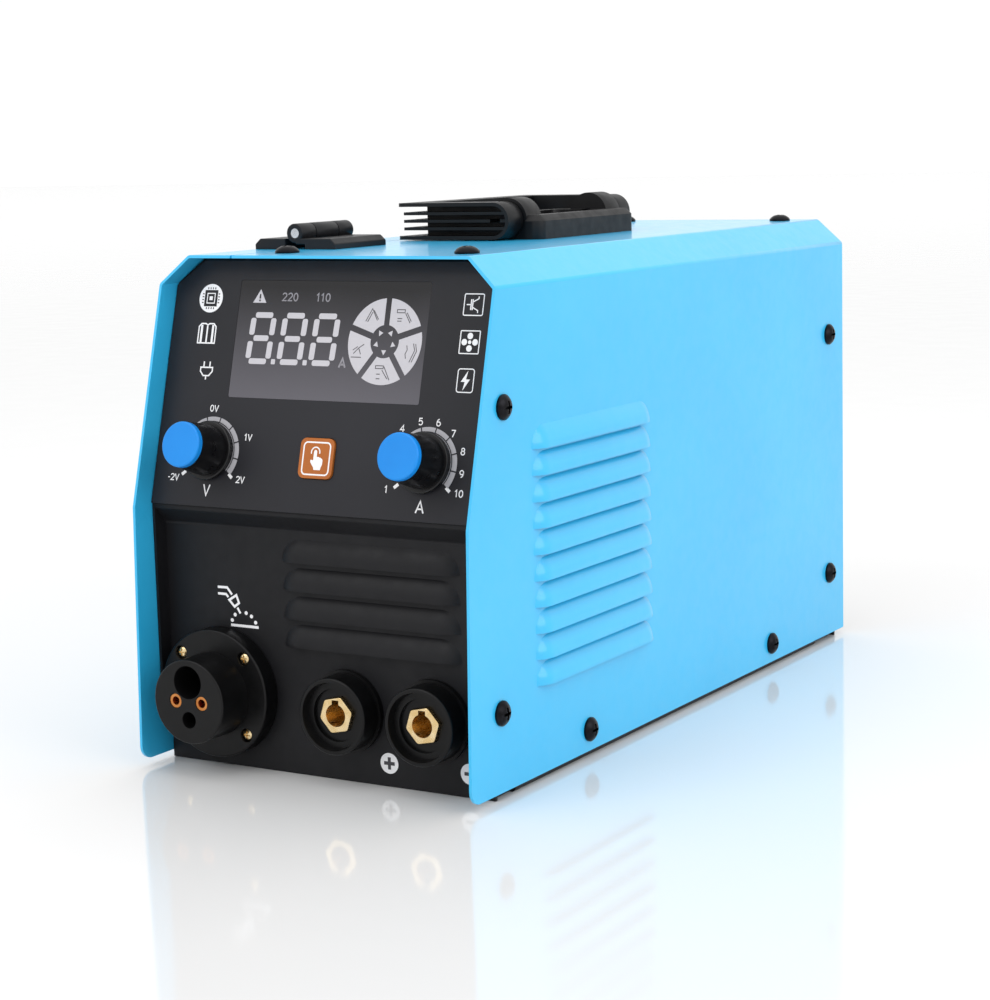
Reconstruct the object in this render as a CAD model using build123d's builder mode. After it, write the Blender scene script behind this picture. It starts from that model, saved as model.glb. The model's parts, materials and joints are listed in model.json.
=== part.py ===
from build123d import *
import os
from math import atan, cos, degrees, radians, sin, tan

# Portable inverter MIG welding machine, in millimetres.
# Frame: +Z up, +Y towards the back, +X to the right of someone facing the front panel.
# The origin is on the underside of the base tray, midway across and midway along the cover.

os.makedirs("parts", exist_ok=True)

# ---------------------------------------------------------------- driving dimensions
cover_width = 160.0
cover_top = 208.5
cover_bottom = 3.0
cover_half_depth = 179.0
shoulder_x = 13.0          # shoulder bevel between side and top, across
shoulder_z = 11.5          # and down
sheet = 1.2                # thickness of every steel sheet
bend = 2.0                 # bend radius on the outer face
gap = 0.3                  # clearance between neighbouring pieces
run_fit = 0.05             # radial clearance of a shaft in its bearing

kink_z = 108.0             # height at which the front stops being upright and leans back
lean_deg = 15.2
toe_forward = 3.0          # the cover's lower front corner stands this far ahead of the kink
fascia_recess = 9.6        # upper fascia behind the cover's edge, at the kink
lower_recess = 17.0        # lower panel behind the cover's edge, at the kink
fascia_thickness = 0.8

seam_x = -45.4             # where the fixed top ends and the side door begins
seam_gap = 1.0

# ---------------------------------------------------------------- derived frame
half_width = cover_width / 2
inner_half = half_width - sheet
shoulder_bottom = cover_top - shoulder_z
lean = radians(lean_deg)
slope = tan(lean)
kink_y = -cover_half_depth
toe_y = kink_y - toe_forward
brow_y = kink_y + slope * (cover_top - kink_z)
fascia_kink_y = kink_y + fascia_recess
lower_y = kink_y + lower_recess
panel_half = inner_half - gap
panel_top = cover_top - sheet - gap
rear_y = cover_half_depth - 9.0
floor_top = sheet

fascia_plane = Plane(
    origin=(0, fascia_kink_y, kink_z), x_dir=(1, 0, 0), z_dir=(0, -cos(lean), sin(lean))
)
lower_plane = Plane(origin=(0, lower_y, 0), x_dir=(1, 0, 0), z_dir=(0, -1, 0))
rear_plane = Plane(origin=(0, rear_y, 0), x_dir=(-1, 0, 0), z_dir=(0, 1, 0))


def fascia_y(z):
    """Where the fascia's face is, at a height."""
    return fascia_kink_y + slope * (z - kink_z)


def up_the_fascia(z):
    """Distance from the kink up the leaning face, for a height."""
    return (z - kink_z) / cos(lean)


def front_facing(x, z):
    """A plane on the lower panel at a point, whose normal points out of the front."""
    return Plane(origin=(x, lower_y, z), x_dir=(1, 0, 0), z_dir=(0, -1, 0))


def rear_facing(x, z):
    """A plane on the rear panel at a point, whose normal points out of the back."""
    return Plane(origin=(x, rear_y + sheet, z), x_dir=(-1, 0, 0), z_dir=(0, 1, 0))


def left_facing(x, y, z):
    """A plane whose normal points to -X, for what turns about the X direction."""
    return Plane(origin=(x, y, z), x_dir=(0, -1, 0), z_dir=(-1, 0, 0))


def screw(head_r, head_h, shank_r, shank_l, drive):
    """A cross-recessed round-head screw: its head stands on Z = 0 and its shank runs down."""
    with BuildPart() as piece:
        with BuildSketch(Plane.XZ):
            with BuildLine():
                Line((0, -shank_l), (shank_r, -shank_l))
                Line((shank_r, -shank_l), (shank_r, 0))
                Line((shank_r, 0), (head_r, 0))
                Line((head_r, 0), (head_r, head_h * 0.3))
                ThreePointArc(
                    (head_r, head_h * 0.3), (head_r * 0.68, head_h * 0.8), (0, head_h)
                )
                Line((0, head_h), (0, -shank_l))
            make_face()
        revolve(axis=Axis.Z)
        with Locations((0, 0, head_h)):
            Box(drive, drive * 0.22, head_h, mode=Mode.SUBTRACT)
            Box(drive * 0.22, drive, head_h, mode=Mode.SUBTRACT)
    return piece.part


def louver_bump(length, radius):
    """A quarter of a round-ended bar: along X, rising over +Z, and shut along its upper side."""
    with BuildPart() as bump:
        with BuildSketch(Plane.XY):
            SlotOverall(length, 2 * radius)
            Rectangle(
                length, radius, align=(Align.CENTER, Align.MAX), mode=Mode.SUBTRACT
            )
        revolve(axis=Axis.X, revolution_arc=90)
    return bump.part


# ---------------------------------------------------------------- screw places
side_screw_points = (
    (-152.0, 151.7),
    (-158.6, 34.4),
    (-89.0, 12.0),
    (91.0, 12.0),
    (161.0, 153.0),
    (161.0, 34.0),
)
top_screw_points = ((-30.5, -134.0), (55.0, -134.0), (-30.5, 160.0), (55.0, 160.0))
screw_head_r = 5.0
screw_head_h = 2.9
screw_shank_r = 2.0
screw_shank_l = 7.0

# ---------------------------------------------------------------- louvers
louver_radius = 13.5
louver_stands = 3.5        # how far a louver's lip stands out of the sheet
louver_pitch = 10.43
side_louver_count = 10
side_louver_length = 108.0
side_louver_y = -81.5
side_louver_z = 39.0
front_louver_count = 4
front_louver_length = 92.5
front_louver_x = 23.2
front_louver_z = 53.0
front_louver_pitch = 11.5
outer_side_bump = louver_bump(side_louver_length, louver_radius)
inner_side_bump = louver_bump(side_louver_length - 2, louver_radius - 1.0)
outer_front_bump = louver_bump(front_louver_length, louver_radius)
inner_front_bump = louver_bump(front_louver_length - 2, louver_radius - 1.0)

# ---------------------------------------------------------------- base tray
tray_flange_height = 22.0
tray_half_length = 147.0
tray_half = panel_half
with BuildPart() as base_tray:
    with BuildSketch(Plane.XZ.offset(-tray_half_length)):
        with BuildLine():
            FilletPolyline(
                (-tray_half, tray_flange_height),
                (-tray_half, 0),
                (tray_half, 0),
                (tray_half, tray_flange_height),
                radius=bend,
            )
            offset(amount=sheet, side=Side.LEFT)
        make_face()
    extrude(amount=2 * tray_half_length)
    with BuildSketch(Plane.XY):
        with Locations((0, (lower_y + sheet + rear_y) / 2)):
            Rectangle(2 * tray_half - 6, rear_y - lower_y - sheet - gap)
    extrude(amount=sheet)
    with BuildSketch(Plane.XY):
        with Locations((32, 80)):
            with GridLocations(46, 13, 2, 8):
                SlotOverall(38, 4)
    extrude(amount=sheet, mode=Mode.SUBTRACT)
    for y, z in side_screw_points[2:4]:
        with Locations((tray_half, y, z)):
            Cylinder(screw_shank_r, 6, rotation=(0, 90, 0), mode=Mode.SUBTRACT)
base_tray.part.label = "base_tray"
export_step(base_tray.part, "parts/base_tray.step")


# ---------------------------------------------------------------- cover and side door
def cover_side_outline():
    """The cover seen from its side: kinked front edge, square back, rounded lower corners."""
    with BuildSketch(Plane.YZ) as outline:
        with BuildLine():
            Polyline(
                (toe_y, cover_bottom),
                (kink_y, kink_z),
                (brow_y, cover_top + 1),
                (cover_half_depth, cover_top + 1),
                (cover_half_depth, cover_bottom),
                close=True,
            )
        make_face()
        fillet(outline.vertices().group_by(Axis.Z)[0].sort_by(Axis.Y)[0], 6.0)
        fillet(outline.vertices().group_by(Axis.Z)[0].sort_by(Axis.Y)[-1], 2.0)
    return outline.sketch


cover_outline = cover_side_outline()

with BuildPart() as cover_shell:
    with BuildSketch(Plane.XZ.offset(-cover_half_depth)):
        with BuildLine():
            FilletPolyline(
                (seam_x + seam_gap / 2, cover_top),
                (half_width - shoulder_x, cover_top),
                (half_width, shoulder_bottom),
                (half_width, cover_bottom),
                radius=bend,
            )
            offset(amount=sheet, side=Side.RIGHT)
        make_face()
    extrude(amount=2 * cover_half_depth + toe_forward)
    extrude(cover_outline, amount=cover_width, both=True, mode=Mode.INTERSECT)
    for i in range(side_louver_count):
        lip_z = side_louver_z + i * louver_pitch
        lip_x = half_width + louver_stands - louver_radius
        lip_plane = Plane(
            origin=(lip_x, side_louver_y, lip_z), x_dir=(0, 1, 0), z_dir=(1, 0, 0)
        )
        with Locations(lip_plane):
            add(outer_side_bump)
            add(inner_side_bump, mode=Mode.SUBTRACT)
    with Locations((inner_half, side_louver_y, cover_bottom)):
        Box(
            20,
            side_louver_length + 20,
            shoulder_bottom - cover_bottom - 30,
            align=(Align.MAX, Align.CENTER, Align.MIN),
            mode=Mode.SUBTRACT,
        )
    for y, z in side_screw_points:
        with Locations((half_width, y, z)):
            Cylinder(screw_shank_r + 0.2, 6, rotation=(0, 90, 0), mode=Mode.SUBTRACT)
    for x, y in top_screw_points:
        with Locations((x, y, cover_top)):
            Cylinder(screw_shank_r + 0.2, 6, mode=Mode.SUBTRACT)
cover_shell.part.label = "cover_shell"
export_step(cover_shell.part, "parts/cover_shell.step")

latch_y = 20.0
latch_z = 34.0
latch_stem_r = 5.0
with BuildPart() as side_door:
    with BuildSketch(Plane.XZ.offset(-cover_half_depth)):
        with BuildLine():
            FilletPolyline(
                (seam_x - seam_gap / 2, cover_top),
                (-half_width + shoulder_x, cover_top),
                (-half_width, shoulder_bottom),
                (-half_width, cover_bottom),
                radius=bend,
            )
            offset(amount=sheet, side=Side.LEFT)
        make_face()
    extrude(amount=2 * cover_half_depth + toe_forward)
    extrude(cover_outline, amount=cover_width, both=True, mode=Mode.INTERSECT)
    with Locations((-half_width, latch_y, latch_z)):
        Cylinder(
            latch_stem_r + run_fit, 6, rotation=(0, 90, 0), mode=Mode.SUBTRACT
        )
side_door.part.label = "side_door"
export_step(side_door.part, "parts/side_door.step")

# A quarter-turn latch: a finger bar outside the door and a cam behind the tray's flange.
latch_disc_r = 11.0
with BuildPart() as door_latch:
    with BuildSketch(left_facing(-half_width - gap, latch_y, latch_z)):
        Circle(latch_disc_r)
    extrude(amount=2.4)
    fillet(door_latch.edges().sort_by(Axis.X)[0], 0.8)
    with BuildSketch(left_facing(-half_width - gap - 2.0, latch_y, latch_z)):
        SlotOverall(2 * latch_disc_r - 3, 5)
    extrude(amount=3.6)
    with BuildSketch(left_facing(-half_width - gap - 1, latch_y, latch_z)):
        Circle(latch_stem_r)
    extrude(amount=-7)
    with BuildSketch(left_facing(-half_width + 4.2, latch_y, latch_z)):
        with Locations((6, 0)):
            SlotOverall(26, 11)
    extrude(amount=-2.0)
door_latch.part.label = "door_latch"
export_step(door_latch.part, "parts/door_latch.step")

with BuildPart() as cover_screws:
    side_screw = screw(screw_head_r, screw_head_h, screw_shank_r, screw_shank_l, 5.0)
    for y, z in side_screw_points:
        with Locations(Plane(origin=(half_width, y, z), x_dir=(0, 1, 0), z_dir=(1, 0, 0))):
            add(side_screw)
    for x, y in top_screw_points:
        with Locations(Plane(origin=(x, y, cover_top), x_dir=(1, 0, 0), z_dir=(0, 0, 1))):
            add(side_screw)
cover_screws.part.label = "cover_screws"
export_step(cover_screws.part, "parts/cover_screws.step")

# ---------------------------------------------------------------- front panel
knob_z = 130.4
knob_x = 51.5
display_width = 91.5
display_low_z = 151.8
display_high_z = 198.2
display_v = (up_the_fascia(display_low_z) + up_the_fascia(display_high_z)) / 2
display_height = up_the_fascia(display_high_z) - up_the_fascia(display_low_z)
button_size = 16.0
button_x = 1.6
button_z = 129.8
button_v = up_the_fascia(button_z)
knob_v = up_the_fascia(knob_z)
pot_bushing_r = 4.2

torch_x = -50.0
torch_z = 31.5
torch_barrel_r = 15.0
socket_x = (11.0, 51.5)
socket_z = 29.0
socket_body_r = 12.0
ledge_drop = 8.0

panel_front_y = fascia_kink_y + fascia_thickness / cos(lean)
panel_brow_y = panel_front_y + slope * (panel_top - kink_z)
with BuildPart() as front_panel:
    with BuildSketch(Plane.YZ):
        with BuildLine():
            FilletPolyline(
                (lower_y, 0.2),
                (lower_y, kink_z - ledge_drop),
                (panel_front_y, kink_z - 1.0),
                (panel_brow_y, panel_top),
                (panel_brow_y + 22, panel_top),
                radius=bend,
            )
            offset(amount=sheet, side=Side.RIGHT)
        make_face()
    extrude(amount=panel_half, both=True)
    for side in (-1, 1):
        with BuildSketch(Plane.YZ.offset(side * panel_half)):
            with BuildLine():
                Polyline(
                    (fascia_kink_y + 1.0, 24),
                    (fascia_kink_y + 1.0, kink_z),
                    (fascia_y(196) + 1.0, 196),
                    (fascia_y(196) + 15, 196),
                    (lower_y + 14, kink_z),
                    (lower_y + 14, 4),
                    (lower_y + 0.5, 4),
                    (lower_y + 0.5, 18),
                    close=True,
                )
            make_face()
        extrude(amount=-side * sheet)
    with BuildSketch(Plane.XZ.offset(cover_half_depth + 10)):
        with BuildLine():
            Polyline(
                (-panel_half, 0),
                (-panel_half, shoulder_bottom - gap),
                (-inner_half + shoulder_x, panel_top),
                (inner_half - shoulder_x, panel_top),
                (panel_half, shoulder_bottom - gap),
                (panel_half, 0),
                close=True,
            )
        make_face()
    extrude(amount=-cover_half_depth, mode=Mode.INTERSECT)
    with BuildSketch(fascia_plane):
        with Locations((0, display_v)):
            Rectangle(display_width - 4, display_height - 4)
        with Locations((-knob_x, knob_v), (knob_x, knob_v)):
            Circle(pot_bushing_r + gap)
        with Locations((button_x, button_v)):
            RectangleRounded(button_size + 0.6, button_size + 0.6, 3)
    extrude(amount=-4, mode=Mode.SUBTRACT)
    with BuildSketch(lower_plane):
        with Locations((torch_x, torch_z)):
            Circle(torch_barrel_r + 0.1)
        with Locations((socket_x[0], socket_z), (socket_x[1], socket_z)):
            Circle(socket_body_r + 0.1)
    extrude(amount=-3, mode=Mode.SUBTRACT)
    for i in range(front_louver_count):
        lip_z = front_louver_z + i * front_louver_pitch
        lip_y = lower_y - louver_stands + louver_radius
        lip_plane = Plane(
            origin=(front_louver_x, lip_y, lip_z), x_dir=(1, 0, 0), z_dir=(0, -1, 0)
        )
        with Locations(lip_plane):
            add(outer_front_bump)
            add(inner_front_bump, mode=Mode.SUBTRACT)
    with Locations((front_louver_x, lower_y + sheet, front_louver_z - 1)):
        Box(
            front_louver_length + 8,
            12,
            kink_z - ledge_drop - front_louver_z,
            align=(Align.CENTER, Align.MIN, Align.MIN),
            mode=Mode.SUBTRACT,
        )
    for y, z in side_screw_points[0:2]:
        with Locations((panel_half, y, z)):
            Cylinder(screw_shank_r, 6, rotation=(0, 90, 0), mode=Mode.SUBTRACT)
    for x, y in top_screw_points[0:2]:
        with Locations((x, y, panel_top)):
            Cylinder(screw_shank_r, 6, mode=Mode.SUBTRACT)
front_panel.part.label = "front_panel"
export_step(front_panel.part, "parts/front_panel.step")

fascia_half = panel_half - 0.2
fascia_shoulder_v = up_the_fascia(shoulder_bottom - 1)
fascia_top_v = up_the_fascia(panel_top - 1.2)
with BuildPart() as fascia_overlay:
    with BuildSketch(fascia_plane):
        with BuildLine():
            Polyline(
                (-fascia_half, 0.6),
                (-fascia_half, fascia_shoulder_v),
                (-inner_half + shoulder_x + 0.6, fascia_top_v),
                (inner_half - shoulder_x - 0.6, fascia_top_v),
                (fascia_half, fascia_shoulder_v),
                (fascia_half, 0.6),
                close=True,
            )
        make_face()
        with Locations((0, display_v)):
            RectangleRounded(display_width, display_height, 0.8, mode=Mode.SUBTRACT)
        with Locations((-knob_x, knob_v), (knob_x, knob_v)):
            Circle(pot_bushing_r + gap, mode=Mode.SUBTRACT)
        with Locations((button_x, button_v)):
            RectangleRounded(
                button_size + 0.6, button_size + 0.6, 3, mode=Mode.SUBTRACT
            )
    extrude(amount=-fascia_thickness)
fascia_overlay.part.label = "fascia_overlay"
export_step(fascia_overlay.part, "parts/fascia_overlay.step")

with BuildPart() as display_lens:
    with BuildSketch(fascia_plane.offset(-0.1)):
        with Locations((0, display_v)):
            RectangleRounded(display_width - 0.2, display_height - 0.2, 0.8)
    extrude(amount=-fascia_thickness + 0.1)
display_lens.part.label = "display_lens"
export_step(display_lens.part, "parts/display_lens.step")

board_depth = 12.0         # control board behind the fascia's face
with BuildPart() as display_module:
    with BuildSketch(fascia_plane.offset(-2.3)):
        with Locations((0, display_v)):
            Rectangle(display_width + 2, display_height + 1)
    extrude(amount=-5.5)
    chamfer(display_module.faces().sort_by(Axis.Y)[0].edges(), 0.8)
    with BuildSketch(fascia_plane.offset(-7.8)):
        with Locations((0, display_v)):
            with GridLocations(80, 40, 2, 2):
                Circle(2)
    extrude(amount=-board_depth + 7.8)
display_module.part.label = "display_module"
export_step(display_module.part, "parts/display_module.step")

with BuildPart() as control_board:
    with BuildSketch(fascia_plane.offset(-board_depth)):
        with Locations((0, up_the_fascia(156))):
            Rectangle(140, 82)
    extrude(amount=-1.6)
    with BuildSketch(fascia_plane.offset(-board_depth)):
        with Locations((button_x, button_v)):
            Rectangle(6, 6)
    extrude(amount=3.5)
    with BuildSketch(fascia_plane.offset(-board_depth - 1.6)):
        with Locations((-20, display_v), (30, display_v - 8)):
            Rectangle(18, 18)
        with Locations((0, display_v - 30)):
            Rectangle(44, 7)
    extrude(amount=-3)
control_board.part.label = "control_board"
export_step(control_board.part, "parts/control_board.step")

# ---------------------------------------------------------------- knobs, shafts, button
shaft_r = 3.0
knob_base_r = 10.5
knob_top_r = 9.5
knob_skirt_r = 12.0
knob_foot = 1.3            # gap from the fascia to the knob's skirt
knob_body_height = 15.8
cap_height = 2.5
cap_r = 9.2

with BuildPart() as potentiometers:
    with BuildSketch(fascia_plane.offset(-board_depth)):
        with Locations((-knob_x, knob_v), (knob_x, knob_v)):
            Circle(8)
    extrude(amount=board_depth - 3.6)
    with BuildSketch(fascia_plane.offset(-3.6)):
        with Locations((-knob_x, knob_v), (knob_x, knob_v)):
            Circle(pot_bushing_r)
    extrude(amount=4.6)
    with BuildSketch(fascia_plane.offset(-board_depth + 1)):
        with Locations((-knob_x, knob_v), (knob_x, knob_v)):
            Circle(shaft_r + run_fit)
    extrude(amount=board_depth + 2, mode=Mode.SUBTRACT)
potentiometers.part.label = "potentiometers"
export_step(potentiometers.part, "parts/potentiometers.step")


fascia_normal = Axis((0, 0, 0), fascia_plane.z_dir)
knob_taper = degrees(atan((knob_base_r - knob_top_r) / knob_body_height))


def knob_body(x):
    """A smooth round knob with a skirt, a shaft bore and a hollow over the bushing."""
    with BuildPart() as body:
        with BuildSketch(fascia_plane.offset(knob_foot)):
            with Locations((x, knob_v)):
                Circle(knob_skirt_r)
        extrude(amount=1.6)
        fillet(body.edges().sort_by(fascia_normal)[-1], 0.6)
        with BuildSketch(fascia_plane.offset(knob_foot)):
            with Locations((x, knob_v)):
                Circle(knob_base_r)
        extrude(amount=knob_body_height, taper=knob_taper)
        with BuildSketch(fascia_plane.offset(knob_foot)):
            with Locations((x, knob_v)):
                Circle(6.4)
        extrude(amount=2.2, mode=Mode.SUBTRACT)
        with BuildSketch(fascia_plane.offset(knob_foot)):
            with Locations((x, knob_v)):
                Circle(shaft_r)
        extrude(amount=knob_body_height - 3, mode=Mode.SUBTRACT)
    return body


def knob_cap(x):
    """The coloured disc pressed on a knob's end."""
    with BuildPart() as cap:
        with BuildSketch(fascia_plane.offset(knob_foot + knob_body_height)):
            with Locations((x, knob_v)):
                Circle(cap_r)
        extrude(amount=cap_height)
        fillet(cap.edges().sort_by(fascia_normal)[-1], 0.7)
    return cap


def pot_shaft(x):
    """The turning shaft, from inside the potentiometer to inside the knob."""
    with BuildPart() as shaft:
        with BuildSketch(fascia_plane.offset(-board_depth + 1.3)):
            with Locations((x, knob_v)):
                Circle(shaft_r)
        extrude(amount=board_depth - 1.3 + knob_foot + knob_body_height - 3.2)
    return shaft


voltage_knob = knob_body(-knob_x)
voltage_knob.part.label = "voltage_knob"
export_step(voltage_knob.part, "parts/voltage_knob.step")

voltage_knob_cap = knob_cap(-knob_x)
voltage_knob_cap.part.label = "voltage_knob_cap"
export_step(voltage_knob_cap.part, "parts/voltage_knob_cap.step")

voltage_shaft = pot_shaft(-knob_x)
voltage_shaft.part.label = "voltage_shaft"
export_step(voltage_shaft.part, "parts/voltage_shaft.step")

current_knob = knob_body(knob_x)
current_knob.part.label = "current_knob"
export_step(current_knob.part, "parts/current_knob.step")

current_knob_cap = knob_cap(knob_x)
current_knob_cap.part.label = "current_knob_cap"
export_step(current_knob_cap.part, "parts/current_knob_cap.step")

current_shaft = pot_shaft(knob_x)
current_shaft.part.label = "current_shaft"
export_step(current_shaft.part, "parts/current_shaft.step")

button_proud = 0.9
with BuildPart() as mode_button:
    with BuildSketch(fascia_plane.offset(button_proud)):
        with Locations((button_x, button_v)):
            RectangleRounded(button_size, button_size, 2.7)
    extrude(amount=-button_proud - 3.0)
    with BuildSketch(fascia_plane.offset(-2.4)):
        with Locations((button_x, button_v)):
            RectangleRounded(button_size + 3.4, button_size + 2.6, 2.7)
    extrude(amount=-1.0)
    with BuildSketch(fascia_plane.offset(-3.4)):
        with Locations((button_x, button_v)):
            Circle(2.5)
    extrude(amount=-3.9)
mode_button.part.label = "mode_button"
export_step(mode_button.part, "parts/mode_button.step")

# ---------------------------------------------------------------- torch socket
torch_plane = front_facing(torch_x, torch_z)
torch_flange_r = 26.5
torch_flange_thickness = 8.0
torch_nose_r = 17.3
torch_nose = 24.5
torch_tail = 22.0
torch_screw_half = 15.8
torch_bore_r = 6.8
torch_seat_r = 5.6         # the narrower rear of the bore, which holds the core
torch_core_front = 4.0     # the core's front face stands this far ahead of the panel
torch_bore_up = 8.1
gas_bore_r = 3.4
gas_bore_down = 7.4
contact_half = 6.5
contact_r = 3.0
contact_bore_r = 1.7
contact_length = 30.0
with BuildPart() as torch_socket:
    with BuildSketch(torch_plane):
        Circle(torch_flange_r)
    extrude(amount=torch_flange_thickness)
    fillet(torch_socket.edges().sort_by(Axis.Y)[0], 0.8)
    with BuildSketch(torch_plane):
        Circle(torch_nose_r)
    extrude(amount=torch_nose)
    fillet(torch_socket.edges().sort_by(Axis.Y)[0], 0.8)
    with BuildSketch(torch_plane):
        Circle(torch_barrel_r)
    extrude(amount=-torch_tail)
    with BuildSketch(torch_plane.offset(torch_nose)):
        with Locations((0, torch_bore_up)):
            Circle(torch_bore_r)
    extrude(amount=-torch_nose + torch_core_front, mode=Mode.SUBTRACT)
    with BuildSketch(torch_plane.offset(torch_nose)):
        with Locations((0, -gas_bore_down)):
            Circle(gas_bore_r)
        with Locations((-contact_half, 0), (contact_half, 0)):
            Circle(contact_r)
    extrude(amount=-torch_nose - torch_tail, mode=Mode.SUBTRACT)
    with BuildSketch(torch_plane.offset(torch_core_front)):
        with Locations((0, torch_bore_up)):
            Circle(torch_seat_r)
    extrude(amount=-torch_core_front - torch_tail, mode=Mode.SUBTRACT)
    with BuildSketch(torch_plane.offset(torch_flange_thickness)):
        with GridLocations(2 * torch_screw_half, 2 * torch_screw_half, 2, 2):
            Circle(2.9)
    extrude(amount=-2.2, mode=Mode.SUBTRACT)
    with BuildSketch(torch_plane):
        with GridLocations(2 * torch_screw_half, 2 * torch_screw_half, 2, 2):
            Circle(1.6)
    extrude(amount=torch_flange_thickness, mode=Mode.SUBTRACT)
torch_socket.part.label = "torch_socket"
export_step(torch_socket.part, "parts/torch_socket.step")

with BuildPart() as torch_contacts:
    with BuildSketch(torch_plane.offset(torch_nose - 0.3)):
        with Locations((-contact_half, 0), (contact_half, 0)):
            Circle(contact_r)
            Circle(contact_bore_r, mode=Mode.SUBTRACT)
    extrude(amount=-contact_length)
torch_contacts.part.label = "torch_contacts"
export_step(torch_contacts.part, "parts/torch_contacts.step")

with BuildPart() as torch_screws:
    with Locations(torch_plane.offset(torch_flange_thickness - 2.2)):
        with GridLocations(2 * torch_screw_half, 2 * torch_screw_half, 2, 2):
            add(screw(2.7, 1.8, 1.5, torch_flange_thickness - 2.4, 3.0))
torch_screws.part.label = "torch_screws"
export_step(torch_screws.part, "parts/torch_screws.step")

core_tail = 34.0
core_shoulder_r = 12.0     # the collar that stops the core against the socket's tail
core_socket_r = 4.0
core_socket_depth = 16.0
wire_hole_r = 1.6
with BuildPart() as torch_core:
    with BuildSketch(torch_plane.offset(torch_core_front)):
        with Locations((0, torch_bore_up)):
            Circle(torch_seat_r)
    extrude(amount=-torch_core_front - torch_tail - 1)
    with BuildSketch(torch_plane.offset(-torch_tail - gap)):
        with Locations((0, torch_bore_up)):
            Circle(core_shoulder_r)
    extrude(amount=-core_tail + torch_tail + gap)
    chamfer(torch_core.edges().sort_by(Axis.Y)[-1], 1.2)
    with BuildSketch(torch_plane.offset(torch_core_front)):
        with Locations((0, torch_bore_up)):
            Circle(core_socket_r)
    extrude(amount=-core_socket_depth, mode=Mode.SUBTRACT)
    with BuildSketch(torch_plane.offset(torch_core_front - core_socket_depth)):
        with Locations((0, torch_bore_up)):
            Circle(wire_hole_r)
    extrude(amount=-core_tail, mode=Mode.SUBTRACT)
torch_core.part.label = "torch_core"
export_step(torch_core.part, "parts/torch_core.step")

# ---------------------------------------------------------------- power sockets
socket_stands = 12.0
socket_rim_r = 15.6
socket_face_depth = 5.0    # the floor of the socket's dish, below its rim
insert_recess = 3.0
insert_flat = 6.9          # half the width across the brass hexagon's flats
pin_bore_r = 4.6
socket_tail = 14.0


def socket_housing(x):
    """The moulded ring of a power socket, with a stepped dish round its brass insert."""
    plane = front_facing(x, socket_z)
    with BuildPart() as housing:
        with BuildSketch(plane):
            Circle(socket_rim_r + 1.2)
        extrude(amount=2.2)
        with BuildSketch(plane):
            Circle(socket_rim_r)
        extrude(amount=socket_stands)
        fillet(housing.edges().sort_by(Axis.Y)[0], 1.0)
        with BuildSketch(plane):
            Circle(socket_body_r)
        extrude(amount=-socket_tail)
        with BuildSketch(plane.offset(socket_stands)):
            Circle(socket_rim_r - 1.8)
        extrude(amount=-socket_face_depth + 1.5, taper=10, mode=Mode.SUBTRACT)
        with BuildSketch(plane.offset(socket_stands - socket_face_depth + 1.5)):
            Circle(10.8)
        extrude(amount=-1.5, mode=Mode.SUBTRACT)
        with BuildSketch(plane.offset(socket_stands)):
            RegularPolygon(insert_flat + 0.1, 6, major_radius=False, rotation=12)
        extrude(amount=-socket_stands - socket_tail, mode=Mode.SUBTRACT)
    return housing


def socket_insert(x):
    """The brass hexagon with its round pin bore and keyway, and a stud for the cable lug."""
    plane = front_facing(x, socket_z)
    mouth = socket_stands - insert_recess
    with BuildPart() as insert:
        with BuildSketch(plane.offset(mouth)):
            RegularPolygon(insert_flat, 6, major_radius=False, rotation=12)
        extrude(amount=-mouth - socket_tail)
        fillet(insert.edges().filter_by(Axis.Y), 1.8)
        fillet(insert.faces().sort_by(Axis.Y)[0].edges(), 0.5)
        with BuildSketch(plane.offset(-socket_tail)):
            Circle(4.0)
        extrude(amount=-9)
        with BuildSketch(plane.offset(mouth)):
            Circle(pin_bore_r)
            with Locations((0, pin_bore_r)):
                Rectangle(3.2, 3.0)
        extrude(amount=-mouth - socket_tail + 4, mode=Mode.SUBTRACT)
    return insert


positive_socket = socket_housing(socket_x[0])
positive_socket.part.label = "positive_socket"
export_step(positive_socket.part, "parts/positive_socket.step")

positive_insert = socket_insert(socket_x[0])
positive_insert.part.label = "positive_insert"
export_step(positive_insert.part, "parts/positive_insert.step")

negative_socket = socket_housing(socket_x[1])
negative_socket.part.label = "negative_socket"
export_step(negative_socket.part, "parts/negative_socket.step")

negative_insert = socket_insert(socket_x[1])
negative_insert.part.label = "negative_insert"
export_step(negative_insert.part, "parts/negative_insert.step")

with BuildPart() as socket_nuts:
    with BuildSketch(lower_plane.offset(-sheet)):
        with Locations((socket_x[0], socket_z), (socket_x[1], socket_z)):
            RegularPolygon(15.5, 6, major_radius=False)
            Circle(socket_body_r + run_fit, mode=Mode.SUBTRACT)
    extrude(amount=-6)
socket_nuts.part.label = "socket_nuts"
export_step(socket_nuts.part, "parts/socket_nuts.step")

# ---------------------------------------------------------------- door hinges
hinge_x = seam_x
hinge_z = cover_top + 6.7
hinge_barrel_r = 4.0
hinge_pin_r = 2.0
hinge_length = 38.0
hinge_starts = (-108.0, 95.0)
knuckle_length = 10.5
leaf_reach = 20.4
leaf_thickness = 4.5
leaf_inner = hinge_barrel_r + 1.0


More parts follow.
